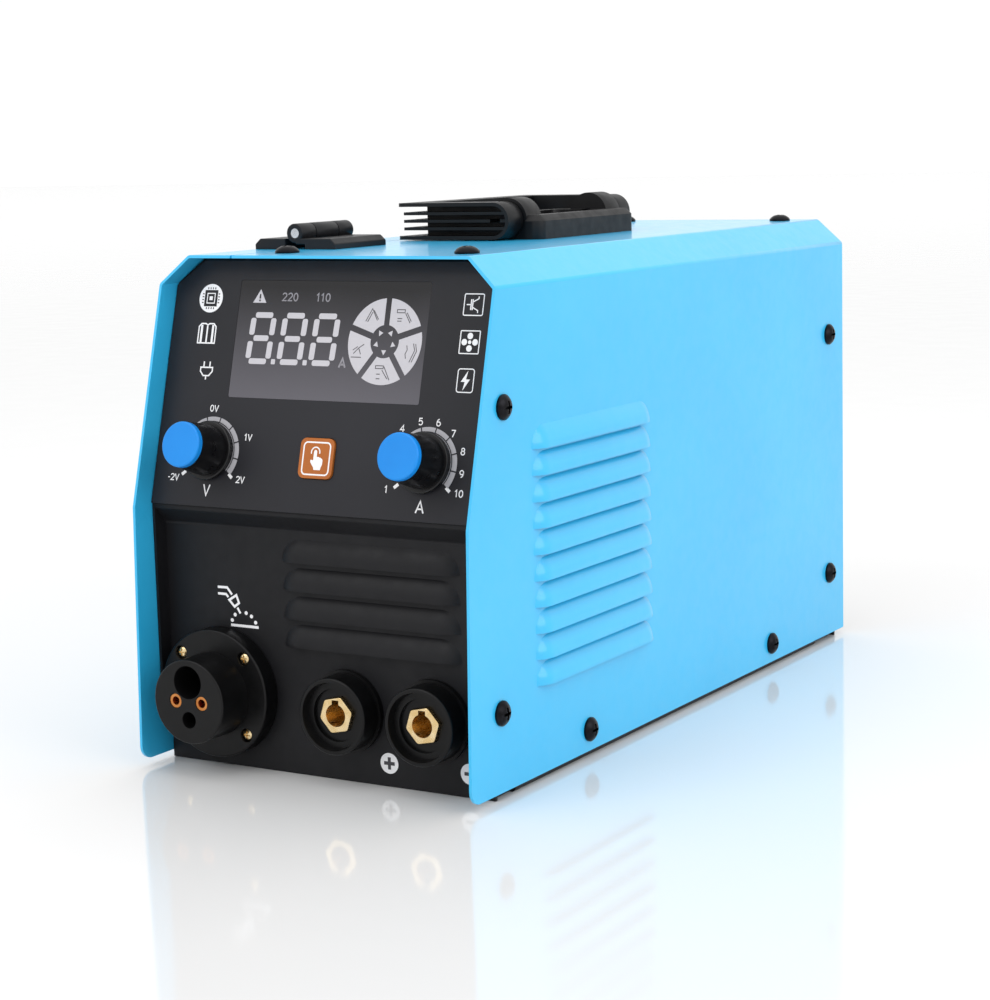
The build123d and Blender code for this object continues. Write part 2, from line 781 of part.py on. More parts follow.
def hinge_leaf(side, knuckles):
    """One leaf of each hinge: a bevelled plate and its share of the barrel's knuckles."""
    with BuildPart() as leaves:
        for start in hinge_starts:
            with BuildSketch(Plane.XZ.offset(-start - hinge_length)):
                with BuildLine():
                    Polyline(
                        (hinge_x + side * leaf_inner, cover_top),
                        (hinge_x + side * leaf_inner, cover_top + leaf_thickness),
                        (hinge_x + side * (leaf_reach - 2.5), cover_top + leaf_thickness),
                        (hinge_x + side * leaf_reach, cover_top + leaf_thickness - 2.2),
                        (hinge_x + side * leaf_reach, cover_top),
                        close=True,
                    )
                make_face()
            extrude(amount=hinge_length)
            for low, high in knuckles:
                with BuildSketch(Plane.XZ.offset(-start - high)):
                    with Locations((hinge_x, hinge_z)):
                        Circle(hinge_barrel_r)
                    with Locations((hinge_x + side * 3.4, cover_top + 3.3)):
                        Rectangle(6.0, 2.4)
                extrude(amount=high - low)
                with BuildSketch(Plane.XZ.offset(-start - high)):
                    with Locations((hinge_x, hinge_z)):
                        Circle(hinge_pin_r + run_fit)
                extrude(amount=high - low, mode=Mode.SUBTRACT)
    return leaves


outer_knuckles = ((0, knuckle_length), (hinge_length - knuckle_length, hinge_length))
middle_knuckle = ((knuckle_length + 0.4, hinge_length - knuckle_length - 0.4),)
hinge_fixed_leaves = hinge_leaf(1, outer_knuckles)
hinge_fixed_leaves.part.label = "hinge_fixed_leaves"
export_step(hinge_fixed_leaves.part, "parts/hinge_fixed_leaves.step")

hinge_door_leaves = hinge_leaf(-1, middle_knuckle)
hinge_door_leaves.part.label = "hinge_door_leaves"
export_step(hinge_door_leaves.part, "parts/hinge_door_leaves.step")

with BuildPart() as hinge_pins:
    for start in hinge_starts:
        with BuildSketch(Plane.XZ.offset(-start - hinge_length + 0.3)):
            with Locations((hinge_x, hinge_z)):
                Circle(hinge_pin_r)
        extrude(amount=hinge_length - 0.6)
hinge_pins.part.label = "hinge_pins"
export_step(hinge_pins.part, "parts/hinge_pins.step")

# ---------------------------------------------------------------- folding carry handle
handle_y = 18.0
pivot_x = 9.0
pivot_z = cover_top + 8.5
arm_r = 8.0
grip_left = -40.0
grip_half = 56.0
channel_depth = 10.2       # of the arms' ribbed outer channels
bar_channel = 9.4          # of the crossbar's ribbed outer channel
web = 2.4
flange_wall = 1.6
arm_inner = grip_half - channel_depth - web
fin_inset = 2.2
fin_thickness = 1.3
fin_step = 3.3
handle_pin_r = 2.5

with BuildPart() as handle_grip:
    with BuildSketch(Plane.XZ.offset(-handle_y - grip_half)):
        with Locations((pivot_x, pivot_z)):
            Circle(arm_r)
        with Locations(((grip_left + pivot_x) / 2, pivot_z)):
            Rectangle(pivot_x - grip_left, 2 * arm_r)
    extrude(amount=2 * grip_half)
    fillet(
        handle_grip.edges().filter_by(Axis.Z).group_by(Axis.X)[0], 2.5
    )
    crossbar_inner = grip_left + bar_channel + web
    with BuildSketch(Plane.XY.offset(pivot_z - arm_r)):
        with Locations((crossbar_inner, handle_y)):
            Rectangle(
                100, 2 * arm_inner, align=(Align.MIN, Align.CENTER)
            )
    extrude(amount=2 * arm_r, mode=Mode.SUBTRACT)
    with BuildSketch(Plane.XZ.offset(-handle_y - grip_half)):
        with Locations((pivot_x, pivot_z)):
            Circle(arm_r - flange_wall)
        with Locations((grip_left - 5, pivot_z)):
            Rectangle(
                pivot_x - grip_left + 5,
                2 * (arm_r - flange_wall),
                align=(Align.MIN, Align.CENTER),
            )
    extrude(amount=channel_depth, mode=Mode.SUBTRACT)
    with BuildSketch(Plane.XZ.offset(-handle_y + grip_half)):
        with Locations((pivot_x, pivot_z)):
            Circle(arm_r - flange_wall)
        with Locations((grip_left - 5, pivot_z)):
            Rectangle(
                pivot_x - grip_left + 5,
                2 * (arm_r - flange_wall),
                align=(Align.MIN, Align.CENTER),
            )
    extrude(amount=-channel_depth, mode=Mode.SUBTRACT)
    with BuildSketch(Plane.XY.offset(pivot_z - arm_r + flange_wall)):
        with Locations((grip_left - 5, handle_y)):
            Rectangle(
                5 + bar_channel,
                2 * grip_half + 2,
                align=(Align.MIN, Align.CENTER),
            )
    extrude(amount=2 * (arm_r - flange_wall), mode=Mode.SUBTRACT)
    for level in (-1, 0, 1):
        with BuildSketch(
            Plane.XY.offset(pivot_z + level * fin_step - fin_thickness / 2)
        ):
            with Locations((grip_left + fin_inset, handle_y)):
                Rectangle(
                    pivot_x - grip_left - fin_inset + 5.2,
                    2 * (grip_half - fin_inset),
                    align=(Align.MIN, Align.CENTER),
                )
            with Locations((grip_left + bar_channel + 0.4, handle_y)):
                Rectangle(
                    100,
                    2 * (grip_half - channel_depth - 0.4),
                    align=(Align.MIN, Align.CENTER),
                    mode=Mode.SUBTRACT,
                )
        extrude(amount=fin_thickness)
    with Locations((pivot_x, handle_y, pivot_z)):
        Cylinder(
            handle_pin_r + run_fit,
            2 * grip_half + 2,
            rotation=(90, 0, 0),
            mode=Mode.SUBTRACT,
        )
handle_grip.part.label = "handle_grip"
export_step(handle_grip.part, "parts/handle_grip.step")

base_right = 26.0
base_left = -12.0
base_half = 43.8
base_top = cover_top + 10.5
lug_r = 9.5
notch_right = pivot_x + arm_r + 1.2
lug_outer = arm_inner - 0.5
lug_inner = lug_outer - 13.0
with BuildPart() as handle_base:
    with BuildSketch(Plane.XY.offset(cover_top)):
        with Locations(((base_left + base_right) / 2, handle_y)):
            Rectangle(base_right - base_left, 2 * lug_outer)
        with Locations(((notch_right + base_right) / 2, handle_y)):
            Rectangle(base_right - notch_right, 2 * base_half)
    extrude(amount=base_top - cover_top)
    fillet(handle_base.edges().filter_by(Axis.Z).group_by(Axis.X)[-1], 4.5)
    chamfer(
        handle_base.faces().sort_by(Axis.Z)[-1].edges().filter_by(Axis.Y).sort_by(Axis.X)[-1:],
        2.6,
    )
    with BuildSketch(Plane.XY.offset(base_top)):
        with Locations(((base_left + base_right) / 2 - 1, handle_y)):
            RectangleRounded(base_right - base_left - 12, 2 * lug_inner - 6, 3)
    extrude(amount=-5, mode=Mode.SUBTRACT)
    for side in (-1, 1):
        with BuildSketch(Plane.XZ.offset(-handle_y - side * lug_inner)):
            with Locations((pivot_x, pivot_z)):
                Circle(lug_r)
            with Locations((pivot_x, pivot_z - lug_r - 1)):
                Rectangle(
                    4 * lug_r,
                    2.5,
                    align=(Align.CENTER, Align.MIN),
                    mode=Mode.SUBTRACT,
                )
        extrude(amount=-side * (lug_outer - lug_inner))
    with Locations((pivot_x, handle_y, pivot_z)):
        Cylinder(
            handle_pin_r, 2 * lug_outer + 2, rotation=(90, 0, 0), mode=Mode.SUBTRACT
        )
handle_base.part.label = "handle_base"
export_step(handle_base.part, "parts/handle_base.step")

with BuildPart() as handle_pins:
    for side in (-1, 1):
        with BuildSketch(Plane.XZ.offset(-handle_y - side * lug_inner)):
            with Locations((pivot_x, pivot_z)):
                Circle(handle_pin_r)
        extrude(amount=-side * (lug_outer - lug_inner + 0.5 + web + 0.2))
handle_pins.part.label = "handle_pins"
export_step(handle_pins.part, "parts/handle_pins.step")

# ---------------------------------------------------------------- rear panel and what it carries
fan_x = 31.0
fan_z = 112.0
fan_size = 80.0
fan_depth = 25.0
fan_bore_r = 38.3
fan_hole_pitch = 71.5
switch_x = -42.0
switch_z = 158.0
switch_width = 22.0
switch_height = 30.0
gland_x = -46.0
gland_z = 44.0
gland_thread_r = 10.0
with BuildPart() as rear_panel:
    with BuildSketch(Plane.YZ):
        with BuildLine():
            FilletPolyline(
                (rear_y + sheet, 0.2),
                (rear_y + sheet, panel_top),
                (rear_y - 19, panel_top),
                radius=bend,
            )
            offset(amount=sheet, side=Side.LEFT)
        make_face()
    extrude(amount=panel_half, both=True)
    for side in (-1, 1):
        with BuildSketch(Plane.YZ.offset(side * panel_half)):
            with Locations((rear_y + 0.5, 4)):
                Rectangle(19, shoulder_bottom - 8, align=(Align.MAX, Align.MIN))
        extrude(amount=-side * sheet)
    with BuildSketch(Plane.XZ.offset(-cover_half_depth)):
        with BuildLine():
            Polyline(
                (-panel_half, 0),
                (-panel_half, shoulder_bottom - gap),
                (-inner_half + shoulder_x, panel_top),
                (inner_half - shoulder_x, panel_top),
                (panel_half, shoulder_bottom - gap),
                (panel_half, 0),
                close=True,
            )
        make_face()
    extrude(amount=60, mode=Mode.INTERSECT)
    with BuildSketch(Plane.XZ.offset(-rear_y - sheet)):
        with Locations((fan_x, fan_z)):
            Circle(fan_bore_r)
            with GridLocations(fan_hole_pitch, fan_hole_pitch, 2, 2):
                Circle(2.1)
        with Locations((switch_x, switch_z)):
            Rectangle(switch_width - 2, switch_height - 2)
        with Locations((gland_x, gland_z)):
            Circle(gland_thread_r + 0.1)
    extrude(amount=3, mode=Mode.SUBTRACT)
    for y, z in side_screw_points[4:6]:
        with Locations((panel_half, y, z)):
            Cylinder(screw_shank_r, 6, rotation=(0, 90, 0), mode=Mode.SUBTRACT)
    for x, y in top_screw_points[2:4]:
        with Locations((x, y, panel_top)):
            Cylinder(screw_shank_r, 6, mode=Mode.SUBTRACT)
rear_panel.part.label = "rear_panel"
export_step(rear_panel.part, "parts/rear_panel.step")

fan_plane = Plane(origin=(fan_x, rear_y, fan_z), x_dir=(1, 0, 0), z_dir=(0, -1, 0))
with BuildPart() as fan_frame:
    with BuildSketch(fan_plane):
        RectangleRounded(fan_size, fan_size, 4)
        Circle(fan_bore_r, mode=Mode.SUBTRACT)
        with GridLocations(fan_hole_pitch, fan_hole_pitch, 2, 2):
            Circle(2.1, mode=Mode.SUBTRACT)
    extrude(amount=fan_depth)
    with BuildSketch(fan_plane.offset(fan_depth)):
        Circle(16)
        with PolarLocations(27, 4, start_angle=45):
            Rectangle(26, 4)
    extrude(amount=-2.4)
    with BuildSketch(fan_plane.offset(fan_depth)):
        Circle(2.0 + run_fit)
    extrude(amount=-2.4, mode=Mode.SUBTRACT)
fan_frame.part.label = "fan_frame"
export_step(fan_frame.part, "parts/fan_frame.step")

fan_blades = 7
fan_tip_r = 37.2
fan_hub_r = 16.5
with BuildPart() as fan_impeller:
    with Locations(fan_plane.offset(12)):
        with PolarLocations(26, fan_blades):
            Box(25, 1.6, 26, rotation=(48, 0, 0))
        Cylinder(fan_tip_r, 18, mode=Mode.INTERSECT)
        Cylinder(fan_hub_r, 18)
    with BuildSketch(fan_plane.offset(20)):
        Circle(2.0)
    extrude(amount=fan_depth - 20)
fan_impeller.part.label = "fan_impeller"
export_step(fan_impeller.part, "parts/fan_impeller.step")

guard_plane = rear_facing(fan_x, fan_z)
with BuildPart() as fan_guard:
    with BuildSketch(guard_plane.offset(1.6)):
        for ring_r in (38, 29, 20, 11):
            Circle(ring_r + 1.0)
            Circle(ring_r - 1.0, mode=Mode.SUBTRACT)
    extrude(amount=2)
    with BuildSketch(guard_plane):
        with PolarLocations(30, 4, start_angle=45):
            Rectangle(41, 2.6)
        with GridLocations(fan_hole_pitch, fan_hole_pitch, 2, 2):
            Circle(4.6)
        with GridLocations(fan_hole_pitch, fan_hole_pitch, 2, 2):
            Circle(2.1, mode=Mode.SUBTRACT)
    extrude(amount=2)
fan_guard.part.label = "fan_guard"
export_step(fan_guard.part, "parts/fan_guard.step")

with BuildPart() as fan_screws:
    with Locations(guard_plane.offset(2)):
        with GridLocations(fan_hole_pitch, fan_hole_pitch, 2, 2):
            add(screw(3.6, 2.2, 2.0, 2 + sheet + fan_depth, 4.0))
fan_screws.part.label = "fan_screws"
export_step(fan_screws.part, "parts/fan_screws.step")

switch_plane = rear_facing(switch_x, switch_z)
rocker_deg = 10.0
rocker_gap = 0.4
rocker_axis_depth = 3.0
rocker_pivot_r = 1.5
with BuildPart() as power_switch:
    with BuildSketch(switch_plane):
        RectangleRounded(switch_width, switch_height, 1.5)
    extrude(amount=2.2)
    with BuildSketch(switch_plane):
        Rectangle(switch_width - 2.4, switch_height - 2.4)
    extrude(amount=-20)
    with BuildSketch(switch_plane.offset(2.2)):
        Rectangle(switch_width - 6, switch_height - 6)
    extrude(amount=-13, mode=Mode.SUBTRACT)
    with Locations((switch_x, rear_y + sheet - rocker_axis_depth, switch_z)):
        Cylinder(
            rocker_pivot_r + run_fit, switch_width, rotation=(0, 90, 0), mode=Mode.SUBTRACT
        )
    with BuildSketch(switch_plane.offset(-20)):
        with GridLocations(9, 14, 2, 2):
            Rectangle(0.8, 6)
    extrude(amount=-8)
power_switch.part.label = "power_switch"
export_step(power_switch.part, "parts/power_switch.step")

rocker_section = Plane(
    origin=(switch_x, rear_y + sheet - rocker_axis_depth, switch_z),
    x_dir=(0, -sin(radians(rocker_deg)), cos(radians(rocker_deg))),
    z_dir=(-1, 0, 0),
)
rocker_width = switch_width - 6 - 2 * rocker_gap
rocker_half = (switch_height - 6) / 2 - 1.6
with BuildPart() as power_rocker:
    with BuildSketch(rocker_section):
        with BuildLine():
            Line((-rocker_half, -2), (-rocker_half, 6.0))
            ThreePointArc((-rocker_half, 6.0), (0, 4.2), (rocker_half, 6.0))
            Line((rocker_half, 6.0), (rocker_half, -2))
            Line((rocker_half, -2), (0, -6))
            Line((0, -6), (-rocker_half, -2))
        make_face()
    extrude(amount=rocker_width / 2, both=True)
    with BuildSketch(rocker_section):
        Circle(rocker_pivot_r)
    extrude(amount=rocker_width / 2 + rocker_gap + 1.4, both=True)
power_rocker.part.label = "power_rocker"
export_step(power_rocker.part, "parts/power_rocker.step")

gland_plane = rear_facing(gland_x, gland_z)
gland_bore_r = 5.0
with BuildPart() as cord_gland:
    with BuildSketch(gland_plane):
        RegularPolygon(12, 6, major_radius=False)
    extrude(amount=5)
    with BuildSketch(gland_plane.offset(5)):
        Circle(11)
    extrude(amount=12, taper=12)
    fillet(cord_gland.edges().filter_by(GeomType.CIRCLE).sort_by(Axis.Y)[-1], 1.5)
    with BuildSketch(gland_plane):
        Circle(gland_thread_r)
    extrude(amount=-10)
    with BuildSketch(gland_plane.offset(17)):
        Circle(gland_bore_r)
    extrude(amount=-27, mode=Mode.SUBTRACT)
cord_gland.part.label = "cord_gland"
export_step(cord_gland.part, "parts/cord_gland.step")

# ---------------------------------------------------------------- centre divider
divider_x = -14.0
motor_r = 18.0
feed_y = -95.0
wire_z = torch_z + torch_bore_up
roller_gap = 0.8           # each roller's rim stands this far from the wire line
drive_r = 10.0
drive_z = wire_z - roller_gap - drive_r
spool_y = 30.0
spool_z = 112.0
with BuildPart() as centre_divider:
    with BuildSketch(Plane.XZ.offset(-rear_y + 12)):
        with BuildLine():
            FilletPolyline(
                (divider_x + 12, floor_top),
                (divider_x, floor_top),
                (divider_x, panel_top - 1.5),
                (divider_x + 12, panel_top - 1.5),
                radius=bend,
            )
            offset(amount=sheet, side=Side.RIGHT)
        make_face()
    extrude(amount=rear_y - 12 + 118)
    with BuildSketch(Plane.YZ.offset(divider_x)):
        with Locations((feed_y, drive_z)):
            Circle(motor_r + 2)
        with Locations((120, 40)):
            RectangleRounded(40, 24, 4)
    extrude(amount=sheet, both=True, mode=Mode.SUBTRACT)
centre_divider.part.label = "centre_divider"
export_step(centre_divider.part, "parts/centre_divider.step")

# ---------------------------------------------------------------- power electronics
board_x = 66.0
with BuildPart() as main_board:
    with BuildSketch(Plane.YZ.offset(board_x)):
        with Locations((20, 112)):
            Rectangle(200, 160)
    extrude(amount=1.6)
    with BuildSketch(Plane.YZ.offset(board_x)):
        with Locations((-55, 60), (-30, 60), (-55, 85), (-30, 85)):
            Rectangle(14, 14)
        with Locations((-62, 175)):
            Rectangle(18, 26)
    extrude(amount=-16)
main_board.part.label = "main_board"
export_step(main_board.part, "parts/main_board.step")

heatsink_depth = 44.0
fin_count = 9
with BuildPart() as heatsinks:
    for low_z in (42.0, 120.0):
        with BuildSketch(Plane.XZ.offset(-125)):
            with Locations((board_x - 3, low_z)):
                Rectangle(5, 66, align=(Align.MAX, Align.MIN))
            for i in range(fin_count):
                with Locations((board_x - 3, low_z + i * 8.05)):
                    Rectangle(heatsink_depth, 1.6, align=(Align.MAX, Align.MIN))
        extrude(amount=85)
heatsinks.part.label = "heatsinks"
export_step(heatsinks.part, "parts/heatsinks.step")

with BuildPart() as bus_capacitors:
    with BuildSketch(Plane.YZ.offset(board_x)):
        with Locations((-2, 170), (-32, 170), (-32, 140), (-2, 140)):
            Circle(12.5)
    extrude(amount=-42)
    fillet(bus_capacitors.edges().group_by(Axis.X)[0], 1.2)
bus_capacitors.part.label = "bus_capacitors"
export_step(bus_capacitors.part, "parts/bus_capacitors.step")

transformer_x = 36.0
transformer_y = -42.0
with BuildPart() as transformer_core:
    with BuildSketch(Plane.XY.offset(floor_top)):
        with Locations((transformer_x, transformer_y)):
            Rectangle(24, 52)
    extrude(amount=46)
    with BuildSketch(Plane.YZ.offset(transformer_x)):
        with Locations((transformer_y - 13, 24), (transformer_y + 13, 24)):
            Rectangle(12, 30)
    extrude(amount=14, both=True, mode=Mode.SUBTRACT)
transformer_core.part.label = "transformer_core"
export_step(transformer_core.part, "parts/transformer_core.step")

with BuildPart() as transformer_winding:
    with BuildSketch(Plane.XY.offset(10)):
        with Locations((transformer_x, transformer_y)):
            RectangleRounded(44, 34, 8)
            Rectangle(24.4, 14.4, mode=Mode.SUBTRACT)
    extrude(amount=28)
transformer_winding.part.label = "transformer_winding"
export_step(transformer_winding.part, "parts/transformer_winding.step")

with BuildPart() as output_choke:
    with BuildSketch(Plane.XZ.offset(-22)):
        with Locations((30, floor_top + 19)):
            Circle(19)
            Circle(8, mode=Mode.SUBTRACT)
    extrude(amount=24)
    fillet(output_choke.edges().filter_by(GeomType.CIRCLE), 4)
output_choke.part.label = "output_choke"
export_step(output_choke.part, "parts/output_choke.step")

# ---------------------------------------------------------------- wire feeder
plate_x = -34.0            # the feeder plate's right face, away from the door
plate_thickness = 3.0
plate_height = 78.0
roller_x = torch_x
roller_width = 11.0
drive_shaft_r = 4.0
idler_r = 8.0
idler_z = wire_z + roller_gap + idler_r
idler_pin_r = 2.5
arm_pivot_y = feed_y + 28
arm_pivot_z = 58.0
arm_x = roller_x + roller_width / 2 + 1.0
arm_thickness = 5.0
arm_height = 8.0
pivot_pin_r = 3.0
rod_y = feed_y - 19
rod_z = 30.0
rod_x = arm_x - 3.0
rod_r = 2.0
rod_length = 60.0
rod_lean_deg = 25.0        # the tension rod rests swung forward, off the pressure arm
arm_front = rod_y - 5
with BuildPart() as feeder_plate:
    with BuildSketch(Plane.YZ.offset(plate_x)):
        with Locations((feed_y + 2, floor_top)):
            Rectangle(76, plate_height, align=(Align.CENTER, Align.MIN))
        with Locations((feed_y, drive_z)):
            Circle(drive_shaft_r + run_fit, mode=Mode.SUBTRACT)
    extrude(amount=-plate_thickness)
    fillet(feeder_plate.edges().filter_by(Axis.X).group_by(Axis.Z)[-1], 4)
    with BuildSketch(Plane.XY.offset(floor_top)):
        with Locations((plate_x, feed_y + 2)):
            Rectangle(18, 76, align=(Align.MIN, Align.CENTER))
    extrude(amount=2)
    with BuildSketch(Plane.YZ.offset(plate_x - plate_thickness)):
        with Locations((arm_pivot_y, arm_pivot_z), (rod_y, rod_z)):
            Circle(pivot_pin_r)
    extrude(amount=-12.5)
feeder_plate.part.label = "feeder_plate"
export_step(feeder_plate.part, "parts/feeder_plate.step")

with BuildPart() as feed_motor:
    with BuildSketch(Plane.YZ.offset(plate_x + 5)):
        with Locations((feed_y, drive_z)):
            Circle(motor_r)
    extrude(amount=53)
    fillet(feed_motor.edges().group_by(Axis.X)[-1], 2)
    with BuildSketch(Plane.YZ.offset(plate_x)):
        with Locations((feed_y, drive_z)):
            Rectangle(34, 34)
    extrude(amount=5)
    with BuildSketch(Plane.YZ.offset(plate_x)):
        with Locations((feed_y, drive_z)):
            Circle(drive_shaft_r + run_fit)
    extrude(amount=12, mode=Mode.SUBTRACT)
feed_motor.part.label = "feed_motor"
export_step(feed_motor.part, "parts/feed_motor.step")

groove = 1.0
with BuildPart() as drive_roller:
    with BuildSketch(left_facing(roller_x + roller_width / 2, feed_y, drive_z)):
        Circle(drive_r)
    extrude(amount=roller_width)
    with BuildSketch(Plane.XY.offset(drive_z)):
        for x in (roller_x - 3, roller_x, roller_x + 3):
            with Locations((x, feed_y + drive_r)):
                Rectangle(groove, groove, rotation=45)
    revolve(axis=Axis((0, feed_y, drive_z), (1, 0, 0)), mode=Mode.SUBTRACT)
    with BuildSketch(left_facing(plate_x + 10, feed_y, drive_z)):
        Circle(drive_shaft_r)
    extrude(amount=plate_x + 10 - roller_x)
    with BuildSketch(left_facing(roller_x - roller_width / 2, feed_y, drive_z)):
        Circle(6.5)
        with PolarLocations(6.5, 12):
            Circle(0.7, mode=Mode.SUBTRACT)
    extrude(amount=6)
drive_roller.part.label = "drive_roller"
export_step(drive_roller.part, "parts/drive_roller.step")

with BuildPart() as pressure_arm:
    with BuildSketch(Plane.YZ.offset(arm_x)):
        with BuildLine():
            Polyline(
                (arm_pivot_y + 7, arm_pivot_z - 6),
                (arm_pivot_y + 7, arm_pivot_z + arm_height),
                (arm_front, arm_pivot_z + arm_height),
                (arm_front, arm_pivot_z),
                (feed_y - 9, idler_z - 5),
                (feed_y + 9, idler_z - 5),
                close=True,
            )
        make_face()
        with Locations((arm_pivot_y, arm_pivot_z)):
            Circle(pivot_pin_r + run_fit, mode=Mode.SUBTRACT)
    extrude(amount=arm_thickness)
    with BuildSketch(Plane.XY.offset(arm_pivot_z)):
        with Locations((arm_x + arm_thickness, arm_front)):
            Rectangle(16, 13, align=(Align.MAX, Align.MIN))
        with Locations((rod_x, rod_y - 9)):
            Rectangle(5.4, 14, align=(Align.CENTER, Align.MIN), mode=Mode.SUBTRACT)
    extrude(amount=arm_height)
    with BuildSketch(left_facing(arm_x + 1, feed_y, idler_z)):
        Circle(idler_pin_r)
    extrude(amount=roller_width + 3.3)
    with BuildSketch(left_facing(arm_x - roller_width - 1.3, feed_y, idler_z)):
        Circle(idler_pin_r + 1.5)
    extrude(amount=1.2)
pressure_arm.part.label = "pressure_arm"
export_step(pressure_arm.part, "parts/pressure_arm.step")

with BuildPart() as idler_roller:
    with BuildSketch(left_facing(roller_x + roller_width / 2, feed_y, idler_z)):
        Circle(idler_r)
        Circle(idler_pin_r + run_fit, mode=Mode.SUBTRACT)
    extrude(amount=roller_width - 0.5)
    roller_rims = idler_roller.edges().filter_by(GeomType.CIRCLE)
    chamfer(roller_rims.filter_by(lambda e: e.radius > idler_r - 0.1), 0.6)
idler_roller.part.label = "idler_roller"
export_step(idler_roller.part, "parts/idler_roller.step")

rod_lean = radians(rod_lean_deg)
rod_plane = Plane(
    origin=(rod_x, rod_y, rod_z), x_dir=(1, 0, 0), z_dir=(0, -sin(rod_lean), cos(rod_lean))
)
seat_at = 36.8             # along the rod, just above the pressure arm's top when closed
spring_length = 11.0
spring_r = 3.3
spring_wire_r = 0.55
knob_at = seat_at + 1.5 + spring_length + 2 * spring_wire_r + 0.2
with BuildPart() as tension_rod:
    with BuildSketch(Plane.YZ.offset(rod_x - 2.5)):
        with Locations((rod_y, rod_z)):
            Circle(6)
            Circle(pivot_pin_r + run_fit, mode=Mode.SUBTRACT)
    extrude(amount=5)
    with BuildSketch(rod_plane.offset(5)):
        Circle(rod_r)
    extrude(amount=rod_length - 5)
    with BuildSketch(rod_plane.offset(seat_at)):
        Circle(4.8)
    extrude(amount=1.5)
tension_rod.part.label = "tension_rod"
export_step(tension_rod.part, "parts/tension_rod.step")

with BuildPart() as tension_spring:
    with BuildLine():
        coil = Helix(
            pitch=2.2,
            height=spring_length,
            radius=spring_r,
            center=rod_plane.offset(seat_at + 1.5 + spring_wire_r + 0.1).origin,
            direction=rod_plane.z_dir,
        )
    with BuildSketch(Plane(origin=coil @ 0, z_dir=coil % 0)):
        Circle(spring_wire_r)
    sweep(path=coil, is_frenet=True)
tension_spring.part.label = "tension_spring"
export_step(tension_spring.part, "parts/tension_spring.step")

with BuildPart() as tension_knob:
    with BuildSketch(rod_plane.offset(knob_at)):
        Circle(7.5)
        with PolarLocations(7.9, 12):
            Circle(1.1, mode=Mode.SUBTRACT)
    extrude(amount=13)
    with BuildSketch(rod_plane.offset(knob_at)):
        Circle(rod_r + run_fit)
    extrude(amount=rod_length - knob_at + 0.5, mode=Mode.SUBTRACT)
tension_knob.part.label = "tension_knob"
export_step(tension_knob.part, "parts/tension_knob.step")

# ---------------------------------------------------------------- wire spool
spool_left = -70.0
spool_width = 45.0
spool_r = 50.0
spool_flange = 2.5
spool_hub_r = 22.0
spool_bore_r = 8.0
coil_r = 41.0
spindle_end = spool_left - 5.5
with BuildPart() as spool_spindle:
    with BuildSketch(left_facing(divider_x, spool_y, spool_z)):
        Circle(17)
    extrude(amount=3)
    with BuildSketch(left_facing(divider_x, spool_y, spool_z)):
        Circle(12)
    extrude(amount=divider_x - spool_left - spool_width - gap)
    with BuildSketch(left_facing(divider_x, spool_y, spool_z)):
        Circle(spool_bore_r - run_fit)
    extrude(amount=divider_x - spool_left + 0.2)
    with BuildSketch(left_facing(divider_x, spool_y, spool_z)):
        Circle(5)
    extrude(amount=divider_x - spindle_end)
spool_spindle.part.label = "spool_spindle"
export_step(spool_spindle.part, "parts/spool_spindle.step")

with BuildPart() as spool_nut:
    with BuildSketch(left_facing(spool_left - 0.4, spool_y, spool_z)):
        Circle(13)
        with PolarLocations(13.6, 10):
            Circle(1.6, mode=Mode.SUBTRACT)
        Circle(5 + run_fit, mode=Mode.SUBTRACT)
    extrude(amount=5)
spool_nut.part.label = "spool_nut"
export_step(spool_nut.part, "parts/spool_nut.step")

with BuildPart() as wire_spool:
    with BuildSketch(left_facing(spool_left + spool_width, spool_y, spool_z)):
        Circle(spool_hub_r)
    extrude(amount=spool_width)
    for start in (spool_width, spool_flange):
        with BuildSketch(left_facing(spool_left + start, spool_y, spool_z)):
            Circle(spool_r)
            with PolarLocations(34, 5):
                Circle(6.5, mode=Mode.SUBTRACT)
        extrude(amount=spool_flange)
    with BuildSketch(left_facing(spool_left + spool_width, spool_y, spool_z)):
        Circle(spool_bore_r)
    extrude(amount=spool_width, mode=Mode.SUBTRACT)
    with BuildSketch(left_facing(spool_left + 20, spool_y, spool_z)):
        Circle(spool_hub_r - 2)
        Circle(spool_bore_r + 3, mode=Mode.SUBTRACT)
        with PolarLocations(15, 4):
            Rectangle(12, 2, mode=Mode.SUBTRACT)
    extrude(amount=20, mode=Mode.SUBTRACT)
wire_spool.part.label = "wire_spool"
export_step(wire_spool.part, "parts/wire_spool.step")

with BuildPart() as wire_coil:
    with BuildSketch(
        left_facing(spool_left + spool_width - spool_flange, spool_y, spool_z)
    ):
        Circle(coil_r)
        Circle(spool_hub_r, mode=Mode.SUBTRACT)
    extrude(amount=spool_width - 2 * spool_flange)
    coil_rims = wire_coil.edges().filter_by(GeomType.CIRCLE)
    fillet(coil_rims.filter_by(lambda e: e.radius > coil_r - 0.1), 1.0)
wire_coil.part.label = "wire_coil"
export_step(wire_coil.part, "parts/wire_coil.step")
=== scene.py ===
"""Looks of the portable MIG welding machine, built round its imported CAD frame."""

import json
from math import cos, degrees, hypot, pi, radians, sin

import bmesh
import bpy
from mathutils import Matrix, Vector
from mathutils.geometry import tessellate_polygon


